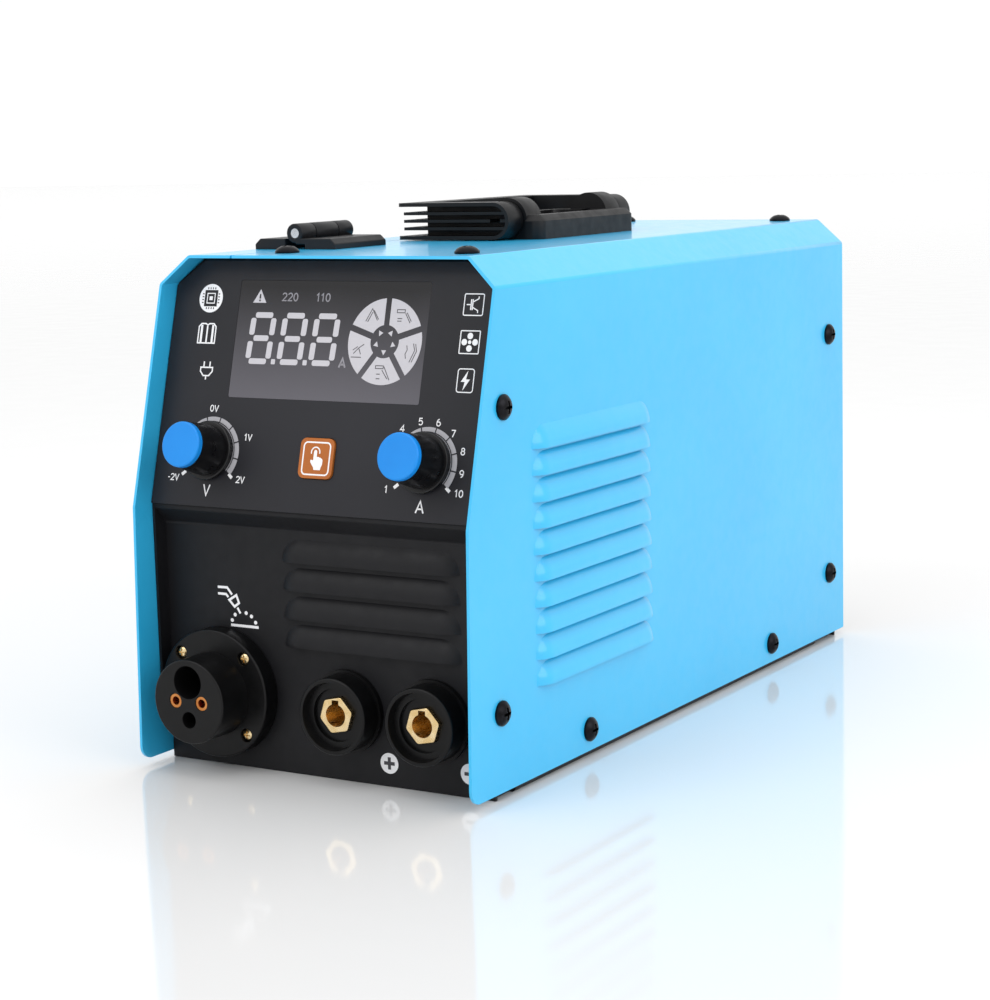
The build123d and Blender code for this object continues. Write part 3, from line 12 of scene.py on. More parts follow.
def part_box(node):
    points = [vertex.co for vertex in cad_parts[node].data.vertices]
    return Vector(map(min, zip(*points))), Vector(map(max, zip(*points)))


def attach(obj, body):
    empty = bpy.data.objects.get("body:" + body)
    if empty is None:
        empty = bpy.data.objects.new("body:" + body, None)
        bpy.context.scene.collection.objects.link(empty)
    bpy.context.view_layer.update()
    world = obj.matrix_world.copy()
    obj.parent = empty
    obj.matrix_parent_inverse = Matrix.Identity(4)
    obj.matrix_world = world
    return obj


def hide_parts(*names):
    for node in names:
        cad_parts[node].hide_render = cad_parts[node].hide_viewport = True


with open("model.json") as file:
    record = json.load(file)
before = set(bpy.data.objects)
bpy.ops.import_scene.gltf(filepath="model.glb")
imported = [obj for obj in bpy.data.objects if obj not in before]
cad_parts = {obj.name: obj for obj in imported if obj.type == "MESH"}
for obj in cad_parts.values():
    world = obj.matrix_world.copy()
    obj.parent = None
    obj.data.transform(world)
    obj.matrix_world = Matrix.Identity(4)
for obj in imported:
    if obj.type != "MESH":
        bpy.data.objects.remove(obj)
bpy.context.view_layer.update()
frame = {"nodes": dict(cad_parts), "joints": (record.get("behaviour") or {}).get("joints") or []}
nodes = frame["nodes"]
joints = {joint["name"]: joint for joint in frame["joints"]}

MM = 0.001
FILM = 0.8 * MM            # thickness of the printed fascia film
INK = 0.05 * MM            # thickness of printing
FINE_INK = 0.02 * MM       # a second layer, printed on top of the first
GLYPH_INK = 0.04 * MM      # thickness of the display's glyphs
SYMBOL_INK = 0.03 * MM     # symbols printed on those glyphs
SOCKET_PROUD = 12 * MM     # how far a power socket stands out of the lower panel
CHASSIS = "chassis"

# ------------------------------------------------------------------ places read from the frame
INWARD = Vector(joints["mode_press"]["axis"])
OUTWARD = -INWARD
UP_SLOPE = Vector((0, OUTWARD.z, -OUTWARD.y))
ACROSS = Vector((1, 0, 0))


def middle(node):
    """The middle of a CAD node's box."""
    low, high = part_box(node)
    return (Vector(low) + Vector(high)) / 2


film_low = Vector(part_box("fascia_overlay")[0])
FASCIA_FOOT = Vector((0, film_low.y, film_low.z + FILM * OUTWARD.z))
LOWER_FACE_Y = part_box("positive_socket")[0][1] + SOCKET_PROUD


def on_fascia(x, along, proud=0.0):
    """A frame on the leaning fascia: x across and a distance up the slope, both in metres."""
    place = FASCIA_FOOT + ACROSS * x + UP_SLOPE * along + OUTWARD * proud
    turn = Matrix((ACROSS, UP_SLOPE, OUTWARD)).transposed().to_4x4()
    return Matrix.Translation(place) @ turn


def on_lower_panel(x, z, proud=0.0):
    """A frame on the upright lower panel, facing out of the front."""
    turn = Matrix((ACROSS, Vector((0, 0, 1)), Vector((0, -1, 0)))).transposed().to_4x4()
    return Matrix.Translation(Vector((x, LOWER_FACE_Y - proud, z))) @ turn


def on_rear_panel(x, z, proud=0.0):
    """A frame on the rear panel, facing out of the back."""
    rear_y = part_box("rear_panel")[1][1]
    turn = Matrix((-ACROSS, Vector((0, 0, 1)), Vector((0, 1, 0)))).transposed().to_4x4()
    return Matrix.Translation(Vector((x, rear_y + proud, z))) @ turn


def up_the_fascia(point):
    """How far up the slope a point lies."""
    return (Vector(point) - FASCIA_FOOT).dot(UP_SLOPE)


# ------------------------------------------------------------------ materials
NOISE_LOW, NOISE_HIGH = 0.3, 0.7   # most of a noise's values lie between these


def linear(hex_colour):
    """A hex colour as linear RGBA."""
    parts = [int(hex_colour[i:i + 2], 16) / 255 for i in (1, 3, 5)]
    parts = [p / 12.92 if p <= 0.04045 else ((p + 0.055) / 1.055) ** 2.4 for p in parts]
    return (*parts, 1.0)


class Surface:
    """A Principled material and the few procedural details that this object's surfaces share."""

    def __init__(self, name, colour, roughness, metallic=0.0, coat=0.0, coat_roughness=0.1, shine=0.5):
        self.material = bpy.data.materials.new(name)
        self.material.use_nodes = True
        self.tree = self.material.node_tree
        self.shader = self.tree.nodes["Principled BSDF"]
        self.shader.inputs["Base Color"].default_value = linear(colour)
        self.shader.inputs["Roughness"].default_value = roughness
        self.shader.inputs["Metallic"].default_value = metallic
        self.shader.inputs["Specular IOR Level"].default_value = shine
        self.shader.inputs["Coat Weight"].default_value = coat
        self.shader.inputs["Coat Roughness"].default_value = coat_roughness
        self.material.diffuse_color = linear(colour)
        self.place = self.tree.nodes.new("ShaderNodeTexCoord").outputs["Object"]
        self.normal = None

    def node(self, kind, **inputs):
        """Adds a node and sets its named inputs."""
        made = self.tree.nodes.new(kind)
        for key, value in inputs.items():
            made.inputs[key].default_value = value
        return made

    def link(self, source, target):
        """Joins an output to an input."""
        self.tree.links.new(source, target)

    def stretched(self, scale):
        """Object coordinates with each axis scaled, for grain that runs one way."""
        mapping = self.node("ShaderNodeMapping", Scale=scale)
        self.link(self.place, mapping.inputs["Vector"])
        return mapping.outputs["Vector"]

    def noise(self, size_mm, detail=2.0, rough=0.5, along=None):
        """Noise whose features are about that size; along stretches it on some axes."""
        noise = self.node("ShaderNodeTexNoise", Detail=detail, Roughness=rough)
        noise.inputs["Scale"].default_value = 1.0 / (size_mm * MM)
        self.link(self.stretched(along) if along else self.place, noise.inputs["Vector"])
        return noise.outputs["Fac"]

    def tint(self, factor, dark, light, low=NOISE_LOW, high=NOISE_HIGH):
        """Varies the base colour between two near shades."""
        ramp = self.tree.nodes.new("ShaderNodeValToRGB")
        ramp.color_ramp.elements[0].position = low
        ramp.color_ramp.elements[0].color = linear(dark)
        ramp.color_ramp.elements[1].position = high
        ramp.color_ramp.elements[1].color = linear(light)
        self.link(factor, ramp.inputs["Fac"])
        self.link(ramp.outputs["Color"], self.shader.inputs["Base Color"])
        return self

    def gloss(self, factor, low, high):
        """Varies the roughness between two values."""
        spread = self.tree.nodes.new("ShaderNodeMapRange")
        spread.inputs["From Min"].default_value = NOISE_LOW
        spread.inputs["From Max"].default_value = NOISE_HIGH
        spread.inputs["To Min"].default_value = low
        spread.inputs["To Max"].default_value = high
        self.link(factor, spread.inputs["Value"])
        self.link(spread.outputs["Result"], self.shader.inputs["Roughness"])
        return self

    def bump(self, factor, height_mm, strength=1.0):
        """Adds relief of that height; several calls stack."""
        relief = self.tree.nodes.new("ShaderNodeBump")
        relief.inputs["Strength"].default_value = strength
        relief.inputs["Distance"].default_value = height_mm * MM
        self.link(factor, relief.inputs["Height"])
        if self.normal is not None:
            self.link(self.normal, relief.inputs["Normal"])
        self.normal = relief.outputs["Normal"]
        self.link(self.normal, self.shader.inputs["Normal"])
        return self


def powder_coat(name, colour, shade, light, roughness, peel_mm, coat=0.0, shine=0.25):
    """Baked powder paint: orange peel, a fine sparkle of roughness and slow tone changes."""
    paint = Surface(name, colour, roughness, coat=coat, coat_roughness=0.12, shine=shine)
    paint.tint(paint.noise(90, 3), shade, light)
    paint.gloss(paint.noise(6, 4), roughness - 0.05, roughness + 0.06)
    paint.bump(paint.noise(1.6, 2), peel_mm, 0.5)
    paint.bump(paint.noise(0.35, 2), peel_mm * 0.35, 0.4)
    return paint.material


def moulded(name, colour, light, roughness, grain_mm=0.5, relief_mm=0.02, shine=0.35):
    """Moulded plastic: spark-eroded grain with slightly uneven shine."""
    plastic = Surface(name, colour, roughness, shine=shine)
    plastic.tint(plastic.noise(25, 3), colour, light)
    plastic.gloss(plastic.noise(5, 3), roughness - 0.06, roughness + 0.08)
    plastic.bump(plastic.noise(grain_mm, 3, 0.6), relief_mm, 0.5)
    return plastic.material


def machined(name, colour, light, roughness, along=(1.0, 1.0, 1.0), scratch_mm=0.25):
    """Bare metal: fine tool marks that run one way, and a handled sheen."""
    metal = Surface(name, colour, roughness, metallic=1.0)
    metal.tint(metal.noise(4, 3), colour, light)
    metal.gloss(metal.noise(scratch_mm, 3, along=along), roughness - 0.07, roughness + 0.1)
    metal.bump(metal.noise(scratch_mm, 2, along=along), 0.008, 0.5)
    return metal.material


def glass_window():
    """The smoked display window, with a painted haze of reflected light that makes it paler towards its
    foot.
    """
    window = Surface("smoked_window", "#55535A", 0.2, coat=0.25, coat_roughness=0.05, shine=0.3)
    low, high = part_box("display_lens")
    split = window.tree.nodes.new("ShaderNodeSeparateXYZ")
    window.link(window.place, split.inputs["Vector"])
    # painted haze: the window's height drives a colour that runs from pale at its foot to dark at its head,
    # standing in for reflected light
    height = window.tree.nodes.new("ShaderNodeMapRange")
    height.inputs["From Min"].default_value = low[2]
    height.inputs["From Max"].default_value = high[2]
    window.link(split.outputs["Z"], height.inputs["Value"])
    mottle_and_painted_haze = window.tree.nodes.new("ShaderNodeMath")
    mottle_and_painted_haze.operation = "MULTIPLY_ADD"
    mottle_and_painted_haze.inputs[1].default_value = 0.12
    window.link(window.noise(30, 2), mottle_and_painted_haze.inputs[0])
    window.link(height.outputs["Result"], mottle_and_painted_haze.inputs[2])
    # painted haze with a faint random mottle: pale at the foot, dark at the head
    window.tint(mottle_and_painted_haze.outputs["Value"], "#5D5B62", "#0E0D11", 0.06, 1.0)
    window.bump(window.noise(0.08, 1), 0.002, 0.3)
    return window.material


def plain_ink(name, colour, roughness=0.45):
    """Screen-printed ink with a faint mesh texture."""
    ink = Surface(name, colour, roughness)
    ink.gloss(ink.noise(0.3, 2), roughness - 0.08, roughness + 0.08)
    ink.bump(ink.noise(0.2, 1), 0.004, 0.4)
    return ink.material


def wound_wire(name, colour, light, axis_scale):
    """Bright wire, with fine streaks that run round the winding."""
    wire = Surface(name, colour, 0.3, metallic=1.0)
    wire.tint(wire.noise(3, 2), colour, light)
    wire.gloss(wire.noise(0.6, 2, along=axis_scale), 0.22, 0.42)
    wire.bump(wire.noise(0.5, 2, along=axis_scale), 0.05, 0.6)
    return wire.material


def board_green():
    """Green solder mask in two near shades, as over bare board and over copper."""
    board = Surface("circuit_board", "#1D6B3C", 0.35, coat=0.4)
    board.tint(board.noise(7, 1, along=(1, 1, 4)), "#14532D", "#23794A", 0.45, 0.55)
    board.bump(board.noise(1.2, 2), 0.03, 0.4)
    return board.material


BLUE = powder_coat("blue_powder_coat", "#33BBEF", "#2FB8ED", "#37BEF1", 0.36, 0.03, 0.6, 0.4)
BLACK_PAINT = powder_coat("black_powder_coat", "#151518", "#121215", "#19191C", 0.5, 0.045)
OVERLAY = powder_coat("printed_film", "#232327", "#202024", "#27272C", 0.42, 0.012)
NYLON = moulded("black_nylon", "#0B0B0D", "#101012", 0.44, 0.6, 0.02, 0.28)
HOUSING = moulded("socket_black", "#09090A", "#0D0D0E", 0.36, 0.9, 0.012, 0.22)
KNOB_BLACK = moulded("knob_black", "#08080A", "#0D0D0F", 0.3, 1.2, 0.008)
CAP_BLUE = moulded("cap_blue", "#0A84DD", "#128DE5", 0.38, 0.7, 0.01)
SILICONE = moulded("orange_silicone", "#A65A20", "#B26527", 0.5, 0.8, 0.01)
RED = moulded("red_plastic", "#B81F1B", "#C52A24", 0.32, 0.8, 0.01)
GREY = moulded("grey_plastic", "#6D7276", "#7A7F83", 0.5, 0.6, 0.02)
SPOOL_BLACK = moulded("spool_plastic", "#232527", "#2D2F31", 0.45, 0.8, 0.02)
OXIDE = machined("black_oxide_screw", "#1A1A1C", "#262629", 0.36)
HINGE_BLACK = powder_coat("hinge_black", "#151517", "#121214", "#1A1A1D", 0.42, 0.03)
STEEL = machined("bright_steel", "#B9BCC0", "#D5D7DA", 0.24)
ZINC = machined("galvanised_sheet", "#9BA1A6", "#B7BCC0", 0.4, (1, 0.2, 1), 3.0)
ALUMINIUM = machined("aluminium", "#B9BCBE", "#CDD0D2", 0.34, (4, 0.15, 4), 0.6)
BRASS = machined("brass", "#DDBE84", "#F0DAAE", 0.24, (1, 0.1, 1), 0.3)
COPPER = machined("copper", "#B8743C", "#CF8A50", 0.28, (1, 0.1, 1), 0.3)
FERRITE = moulded("ferrite", "#2B2C2E", "#3A3B3D", 0.6, 0.4, 0.03)
WINDING = wound_wire("winding", "#A8642A", "#C67D3A", (0.2, 0.2, 3))
WELD_WIRE = wound_wire("weld_wire", "#B9763F", "#D6935A", (3, 0.1, 0.1))
SLEEVE = moulded("capacitor_sleeve", "#1B222C", "#232B37", 0.3, 0.9, 0.006)
BOARD = board_green()
WINDOW = glass_window()
DISPLAY_BLACK = moulded("display_black", "#101113", "#161719", 0.35, 0.8, 0.01)
WHITE_INK = plain_ink("white_ink", "#F2F2F4")
GREY_INK = plain_ink("grey_ink", "#AEADB2")
DIM_GLYPH = plain_ink("dim_glyph", "#8E8C93", 0.4)
GLYPH = plain_ink("display_glyph", "#C4C2C8", 0.4)
DARK_INK = plain_ink("dark_ink", "#3A393E")

FINISH = {
    BLUE: ["cover_shell", "side_door"],
    BLACK_PAINT: ["front_panel", "base_tray", "rear_panel"],
    OVERLAY: ["fascia_overlay"],
    WINDOW: ["display_lens"],
    DISPLAY_BLACK: ["display_module"],
    BOARD: ["control_board", "main_board"],
    KNOB_BLACK: ["voltage_knob", "current_knob"],
    CAP_BLUE: ["voltage_knob_cap", "current_knob_cap"],
    SILICONE: ["mode_button"],
    HOUSING: ["torch_socket", "positive_socket", "negative_socket"],
    NYLON: [
        "handle_grip", "handle_base", "cord_gland", "door_latch", "fan_frame", "power_switch",
    ],
    OXIDE: ["cover_screws", "handle_pins"],
    HINGE_BLACK: ["hinge_fixed_leaves", "hinge_door_leaves", "feeder_plate"],
    STEEL: [
        "hinge_pins", "fan_guard", "fan_screws", "potentiometers", "voltage_shaft",
        "current_shaft", "socket_nuts", "drive_roller", "idler_roller", "tension_rod",
        "tension_spring",
    ],
    ZINC: ["centre_divider", "feed_motor"],
    ALUMINIUM: ["heatsinks"],
    BRASS: ["positive_insert", "negative_insert", "torch_screws", "torch_core"],
    COPPER: ["torch_contacts"],
    RED: ["power_rocker", "tension_knob"],
    GREY: ["fan_impeller", "pressure_arm", "spool_spindle", "spool_nut"],
    SPOOL_BLACK: ["wire_spool"],
    WELD_WIRE: ["wire_coil"],
    WINDING: ["transformer_winding", "output_choke"],
    FERRITE: ["transformer_core"],
    SLEEVE: ["bus_capacitors"],
}
for finish, names in FINISH.items():
    for name in names:
        mesh = nodes[name].data
        mesh.materials.clear()
        mesh.materials.append(finish)


# ------------------------------------------------------------------ softened edges of the CAD pieces
BEVEL_SEGMENTS = 2
SHARP_FROM = 35            # degrees; gentler edges stay as they are


def soften(name, width_mm):
    """Rounds a CAD piece's sharp edges for the render, without touching its mesh."""
    piece = nodes[name]
    weld = piece.modifiers.new("weld", "WELD")
    weld.merge_threshold = 0.002 * MM
    bevel = piece.modifiers.new("bevel", "BEVEL")
    bevel.width = width_mm * MM
    bevel.segments = BEVEL_SEGMENTS
    bevel.limit_method = "ANGLE"
    bevel.angle_limit = radians(SHARP_FROM)
    bevel.harden_normals = False
    bevel.use_clamp_overlap = True


for name in ("cover_shell", "side_door", "front_panel"):
    soften(name, 0.22)
for name in ("handle_grip", "handle_base", "torch_socket", "hinge_fixed_leaves", "hinge_door_leaves"):
    soften(name, 0.35)
for name in ("positive_insert", "negative_insert", "torch_contacts", "cover_screws"):
    soften(name, 0.2)


# ------------------------------------------------------------------ flat printing
def arc(radius, start, end, steps, centre=(0.0, 0.0)):
    """Points on an arc, in degrees, in either direction."""
    turns = [radians(start + (end - start) * i / steps) for i in range(steps + 1)]
    return [(centre[0] + radius * cos(t), centre[1] + radius * sin(t)) for t in turns]


def disc(radius, centre=(0.0, 0.0), steps=40):
    """A full circle."""
    return [arc(radius, 0, 360, steps, centre)[:-1]]


def sector(inner, outer, start, end, steps=24, outer_start=None):
    """Part of a ring; outer_start makes it taper from its first end."""
    first = outer if outer_start is None else outer_start
    rim = []
    for i in range(steps + 1):
        share = i / steps
        turn = radians(start + (end - start) * share)
        radius = first + (outer - first) * share
        rim.append((radius * cos(turn), radius * sin(turn)))
    return [rim + arc(inner, end, start, steps)]


def box(width, height, centre=(0.0, 0.0), radius=0.0):
    """A rectangle, with rounded corners if radius is given."""
    cx, cy = centre
    hx, hy = width / 2 - radius, height / 2 - radius
    if radius == 0:
        return [[(cx - hx, cy - hy), (cx + hx, cy - hy), (cx + hx, cy + hy), (cx - hx, cy + hy)]]
    corners = [(hx, hy, 0), (-hx, hy, 90), (-hx, -hy, 180), (hx, -hy, 270)]
    points = []
    for dx, dy, start in corners:
        points += arc(radius, start, start + 90, 6, (cx + dx, cy + dy))
    return [points]


def frame_of(width, height, line, radius=0.0):
    """A rectangular outline of a given line width, with rounded corners if radius is given."""
    inner = max(radius - line, 0.0)
    return box(width, height, radius=radius) + box(width - 2 * line, height - 2 * line, radius=inner)


def stroke(points, width):
    """A line of constant width through points with mitred corners; a closed run makes a loop."""
    closed = points[0] == points[-1]
    run = points[:-1] if closed else points
    last = len(run) - 1
    sides = ([], [])
    for i, (x, y) in enumerate(run):
        before = run[i - 1] if i > 0 or closed else run[i]
        after = run[(i + 1) % len(run)] if i < last or closed else run[i]
        headings = []
        for (ax, ay), (bx, by) in ((before, (x, y)), ((x, y), after)):
            reach = hypot(bx - ax, by - ay)
            if reach > 0:
                headings.append(((bx - ax) / reach, (by - ay) / reach))
        hx = sum(h[0] for h in headings)
        hy = sum(h[1] for h in headings)
        size = max(hypot(hx, hy), 0.2)
        nx, ny = -hy / size, hx / size
        spread = abs(nx * -headings[0][1] + ny * headings[0][0])
        offset = width / 2 / max(spread, 0.5)
        sides[0].append((x + nx * offset, y + ny * offset))
        sides[1].append((x - nx * offset, y - ny * offset))
    if closed:
        return [[sides[0], sides[1][::-1]]] if area(sides[0]) > area(sides[1]) else [
            [sides[1], sides[0][::-1]]
        ]
    return [[sides[0] + sides[1][::-1]]]


def area(loop):
    """The unsigned area inside a loop."""
    return abs(sum(ax * by - bx * ay for (ax, ay), (bx, by) in zip(loop, loop[1:] + loop[:1]))) / 2


def shifted(shape, dx, dy):
    """Moves a shape."""
    return [[(x + dx, y + dy) for x, y in loop] for loop in shape]


def leaning(shape, amount):
    """Slants a shape to the right as it rises."""
    return [[(x + amount * y, y) for x, y in loop] for loop in shape]


def turned(shape, turn):
    """Turns a shape about the origin, in degrees."""
    c, s = cos(radians(turn)), sin(radians(turn))
    return [[(x * c - y * s, x * s + y * c) for x, y in loop] for loop in shape]


def add_prism(mesh, shape, place, thickness):
    """Adds a closed flat prism of a shape, whose first loop is its outline and the rest holes."""
    loops = [[Vector((x * MM, y * MM, 0)) for x, y in loop] for loop in shape]
    flat = [point for loop in loops for point in loop]
    triangles = tessellate_polygon(loops)
    lift = Vector((0, 0, thickness))
    base = [mesh.verts.new(place @ point) for point in flat]
    top = [mesh.verts.new(place @ (point + lift)) for point in flat]
    for a, b, c in triangles:
        crossed = (flat[b] - flat[a]).cross(flat[c] - flat[a]).z
        if abs(crossed) < 1e-14:
            continue
        order = (a, b, c) if crossed > 0 else (a, c, b)
        mesh.faces.new([top[i] for i in order])
        mesh.faces.new([base[i] for i in reversed(order)])
    first = 0
    for loop in loops:
        count = len(loop)
        for i in range(count):
            a, b = first + i, first + (i + 1) % count
            mesh.faces.new((base[a], base[b], top[b], top[a]))
        first += count


def piece_from(name, mesh, finish, body=CHASSIS):
    """Turns a bmesh into a piece of the object that rides on a body."""
    bmesh.ops.recalc_face_normals(mesh, faces=mesh.faces)
    data = bpy.data.meshes.new(name)
    mesh.to_mesh(data)
    mesh.free()
    piece = bpy.data.objects.new(name, data)
    bpy.context.scene.collection.objects.link(piece)
    data.materials.append(finish)
    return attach(piece, body)


def printed(name, shapes, place, finish, thickness=INK, body=CHASSIS):
    """Prints a list of shapes, in millimetres, on a place."""
    mesh = bmesh.new()
    for shape in shapes:
        add_prism(mesh, shape, place, thickness)
    return piece_from(name, mesh, finish, body)


def oval(cx, cy, rx, ry, start, end, steps=14):
    """Points on part of an ellipse, in degrees."""
    turns = [radians(start + (end - start) * i / steps) for i in range(steps + 1)]
    return [(cx + rx * cos(t), cy + ry * sin(t)) for t in turns]


def closed_oval(cx, cy, rx, ry):
    """A whole ellipse that ends where it starts."""
    points = oval(cx, cy, rx, ry, 0, 360, 20)
    return points[:-1] + points[:1]


# Plain engraver's strokes for a character one unit high, centred on its own middle.
SIX = [closed_oval(0, -0.19, 0.25, 0.28), oval(0.12, -0.1, 0.36, 0.57, 185, 95, 8)]
STROKES = {
    "0": [closed_oval(0, 0, 0.25, 0.46)],
    "1": [[(-0.17, 0.24), (0.04, 0.48), (0.04, -0.49)]],
    "2": [oval(0, 0.21, 0.25, 0.26, 165, -35, 10) + [(-0.24, -0.45), (0.28, -0.45)]],
    "3": [oval(0, 0.23, 0.22, 0.23, 150, -80, 10), oval(0, -0.2, 0.26, 0.26, 82, -150, 12)],
    "4": [[(0.12, -0.49), (0.12, 0.44), (-0.28, -0.2), (0.31, -0.2)]],
    "5": [[(0.23, 0.45), (-0.17, 0.45), (-0.22, 0.04)] + oval(0, -0.16, 0.26, 0.3, 115, -145, 12)],
    "6": SIX,
    "7": [[(-0.26, 0.45), (0.25, 0.45), (-0.08, -0.49)]],
    "8": [closed_oval(0, 0.24, 0.2, 0.21), closed_oval(0, -0.21, 0.25, 0.25)],
    "9": [[(-x, -y) for x, y in run] for run in SIX],
    "A": [[(-0.32, -0.49), (0, 0.47), (0.32, -0.49)], [(-0.19, -0.17), (0.19, -0.17)]],
    "V": [[(-0.3, 0.49), (0, -0.47), (0.3, 0.49)]],
    "-": [[(-0.14, -0.04), (0.14, -0.04)]],
    "I": [[(0, 0.49), (0, -0.49)]],
    "O": [closed_oval(0, 0, 0.4, 0.47)],
}
WIDTHS = {"-": 0.42, "1": 0.6, "I": 0.3, "V": 0.74, "A": 0.78, "O": 1.0}
PLAIN_WIDTH = 0.72


def lettering(name, words, finish):
    """Prints words: each is (text, cap height in mm, place, line width in mm)."""
    mesh = bmesh.new()
    for text, height, place, line in words:
        widths = [WIDTHS.get(letter, PLAIN_WIDTH) * height for letter in text]
        at = -sum(widths) / 2
        for letter, width in zip(text, widths):
            for run in STROKES[letter]:
                scaled = [(at + width / 2 + x * height, y * (height - line)) for x, y in run]
                for shape in stroke(scaled, line):
                    add_prism(mesh, shape, place, INK)
            at += width
    return piece_from(name, mesh, finish)


# ------------------------------------------------------------------ dials round the knobs
DIAL_STEP = 28.7           # degrees between two marks
DIAL_FIRST = 218.6         # where the lowest mark is
DIAL_MARKS = 10
DIAL_INNER = 12.3
DIAL_THIN = 13.3
DIAL_OUTER = 14.7
DIAL_CUT = 1.2             # degrees, half of the dark line at a mark
DIAL_LINE_INNER = DIAL_INNER - 0.75
DIAL_LINE_OUTER = DIAL_INNER - 0.4
NUMBER_RADIUS = 16.4
FAR_NUMBER_RADIUS = 17.3   # where the numbers stand at the band's wide end
FIRST_FAR_NUMBER = 8
NUMBER_LINE = 0.42         # line width of the numbers
UNIT_LINE = 0.62           # line width of the letter below each dial


def dial_turn(mark):
    """The angle of a mark, counted from 1."""
    return DIAL_FIRST - DIAL_STEP * (mark - 1)


def dial_edge(mark):
    """The band's outer radius at a mark: it widens as the setting rises."""
    return DIAL_THIN + (DIAL_OUTER - DIAL_THIN) * (mark - 1) / (DIAL_MARKS - 1)


def dial(name, joint):
    """The grey scale band round a knob, cut by a dark line at each mark."""
    x, y, z = joints[joint]["pos_m"]
    centre = (x, up_the_fascia((x, y, z)))
    place = on_fascia(*centre)
    shapes = []
    for mark in range(1, DIAL_MARKS):
        start = dial_turn(mark) - DIAL_CUT
        end = dial_turn(mark + 1) + DIAL_CUT
        shapes.append(sector(DIAL_INNER, dial_edge(mark + 1), start, end, 10, dial_edge(mark)))
    printed(name + "_dial", shapes, place, GREY_INK)
    thin = [sector(DIAL_LINE_INNER, DIAL_LINE_OUTER, DIAL_FIRST, dial_turn(DIAL_MARKS), 40)]
    printed(name + "_dial_line", thin, place, GREY_INK)
    tick = box(1.3, 2.4, (0, DIAL_OUTER + 0.4))
    ends = [turned(tick, dial_turn(mark) - 90) for mark in (1, DIAL_MARKS)]
    printed(name + "_dial_ends", ends, place, WHITE_INK)
    return centre


def round_the_dial(centre, turn, radius):
    """A place for a label at an angle round a knob."""
    along = radians(turn)
    x = centre[0] + radius * MM * cos(along)
    up = centre[1] + radius * MM * sin(along)
    return on_fascia(x, up)


def dial_labels(name, centre, labels, height, unit):
    """Prints a dial's labels, each (text, angle, radius), and its unit, which adds a height."""
    words = [
        (text, height, round_the_dial(centre, turn, radius), NUMBER_LINE)
        for text, turn, radius in labels
    ]
    letter, turn, radius, unit_height = unit
    words.append((letter, unit_height, round_the_dial(centre, turn, radius), UNIT_LINE))
    lettering(name, words, WHITE_INK)


# Three numbers stand away from the common circle, each as (angle, radius).
MOVED_NUMBERS = {1: (214.0, 19.6), 4: (dial_turn(4), 17.6), DIAL_MARKS: (-33.0, 19.9)}
NUMBERS = []
for mark in range(1, DIAL_MARKS + 1):
    usual = (dial_turn(mark), NUMBER_RADIUS if mark < FIRST_FAR_NUMBER else FAR_NUMBER_RADIUS)
    NUMBERS.append((str(mark), *MOVED_NUMBERS.get(mark, usual)))
VOLTS = (("-2V", 214, 20.4), ("-1V", 159, 19.0), ("0V", 91, 17.4), ("1V", 19, 19.3), ("2V", -33, 20.0))

current_centre = dial("current", "current_turn")
dial_labels("current_numbers", current_centre, NUMBERS, 3.2, ("A", -90, 16.9, 5.4))
voltage_centre = dial("voltage", "voltage_turn")
dial_labels("voltage_numbers", voltage_centre, VOLTS, 3.1, ("V", -88, 15.9, 5.2))

# ------------------------------------------------------------------ display
lens_low, lens_high = (Vector(c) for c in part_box("display_lens"))
lens_foot = up_the_fascia((0, lens_low.y, lens_low.z))
lens_head = up_the_fascia((0, lens_high.y, lens_high.z))
LENS_FACE = -0.1 * MM      # the lens lies this far under the film's face
display_up = (lens_foot + lens_head) / 2


def on_display(dx, dy):
    """A place on the display window, in millimetres from its middle."""
    return on_fascia(dx * MM, display_up + dy * MM, LENS_FACE)


DIGIT_HEIGHT = 21.2
LEAN = 0.05


def seven_segments():
    """The seven round-ended bars of a display digit, with small gaps between them."""
    bars = [box(8.6, 2.3, (0, level), 0.9) for level in (-9.4, 9.4)]
    bars.append(box(7.4, 2.3, (0, 0), 0.9))
    for side in (-1, 1):
        bars += [box(2.6, 6.9, (side * 4.95, level), 0.9) for level in (-4.75, 4.75)]
    return [leaning(bar, LEAN) for bar in bars]


digit_shapes = []
DIGIT_PLACES = (-32.8, -17.3, -1.8)
for i, dx in enumerate(DIGIT_PLACES):
    digit_shapes += [shifted(bar, dx, 0) for bar in seven_segments()]
    if i < len(DIGIT_PLACES) - 1:
        dot = box(2.0, 2.1, (dx + 7.3, -DIGIT_HEIGHT / 2 + 1.2), 0.4)
        digit_shapes.append(dot)
printed("display_digits", digit_shapes, on_display(0, 0.4), GLYPH, GLYPH_INK)

triangle = [[(-3.3, -2.4), (3.3, -2.4), (0.0, 3.1)], [(-0.45, -0.7), (-0.3, 1.2), (0.3, 1.2), (0.45, -0.7)]]
mark_dot = disc(0.45, (0, -1.45), 12)
printed("display_alert", [[triangle[0], list(reversed(triangle[1])), mark_dot[0]]],
        on_display(-35.5, 17.2), GLYPH, GLYPH_INK)
lettering(
    "display_words",
    [
        ("220", 3.8, on_display(-20.7, 17.3), 0.5),
        ("110", 3.8, on_display(-4.6, 17.3), 0.5),
        ("A", 4.6, on_display(8.0, -8.6), 0.8),
    ],
    DIM_GLYPH,
)

PIE_OUTER = 17.1
PIE_INNER = 6.6
PIE_GAP = 2.5              # width of the straight gaps between neighbouring sectors
PIE_PLACE = (26.8, 0.3)
PIE_TURNS = (54, 126, 198, 270, 342)


def pie_sector(centre_turn):
    """One of the sectors, with its sides parallel to the gap beside it."""
    half = 180 / len(PIE_TURNS)
    outer_cut = degrees(PIE_GAP / 2 / PIE_OUTER)
    inner_cut = degrees(PIE_GAP / 2 / PIE_INNER)
    rim = arc(PIE_OUTER, centre_turn - half + outer_cut, centre_turn + half - outer_cut, 20)
    hub = arc(PIE_INNER, centre_turn + half - inner_cut, centre_turn - half + inner_cut, 8)
    return [rim + hub]


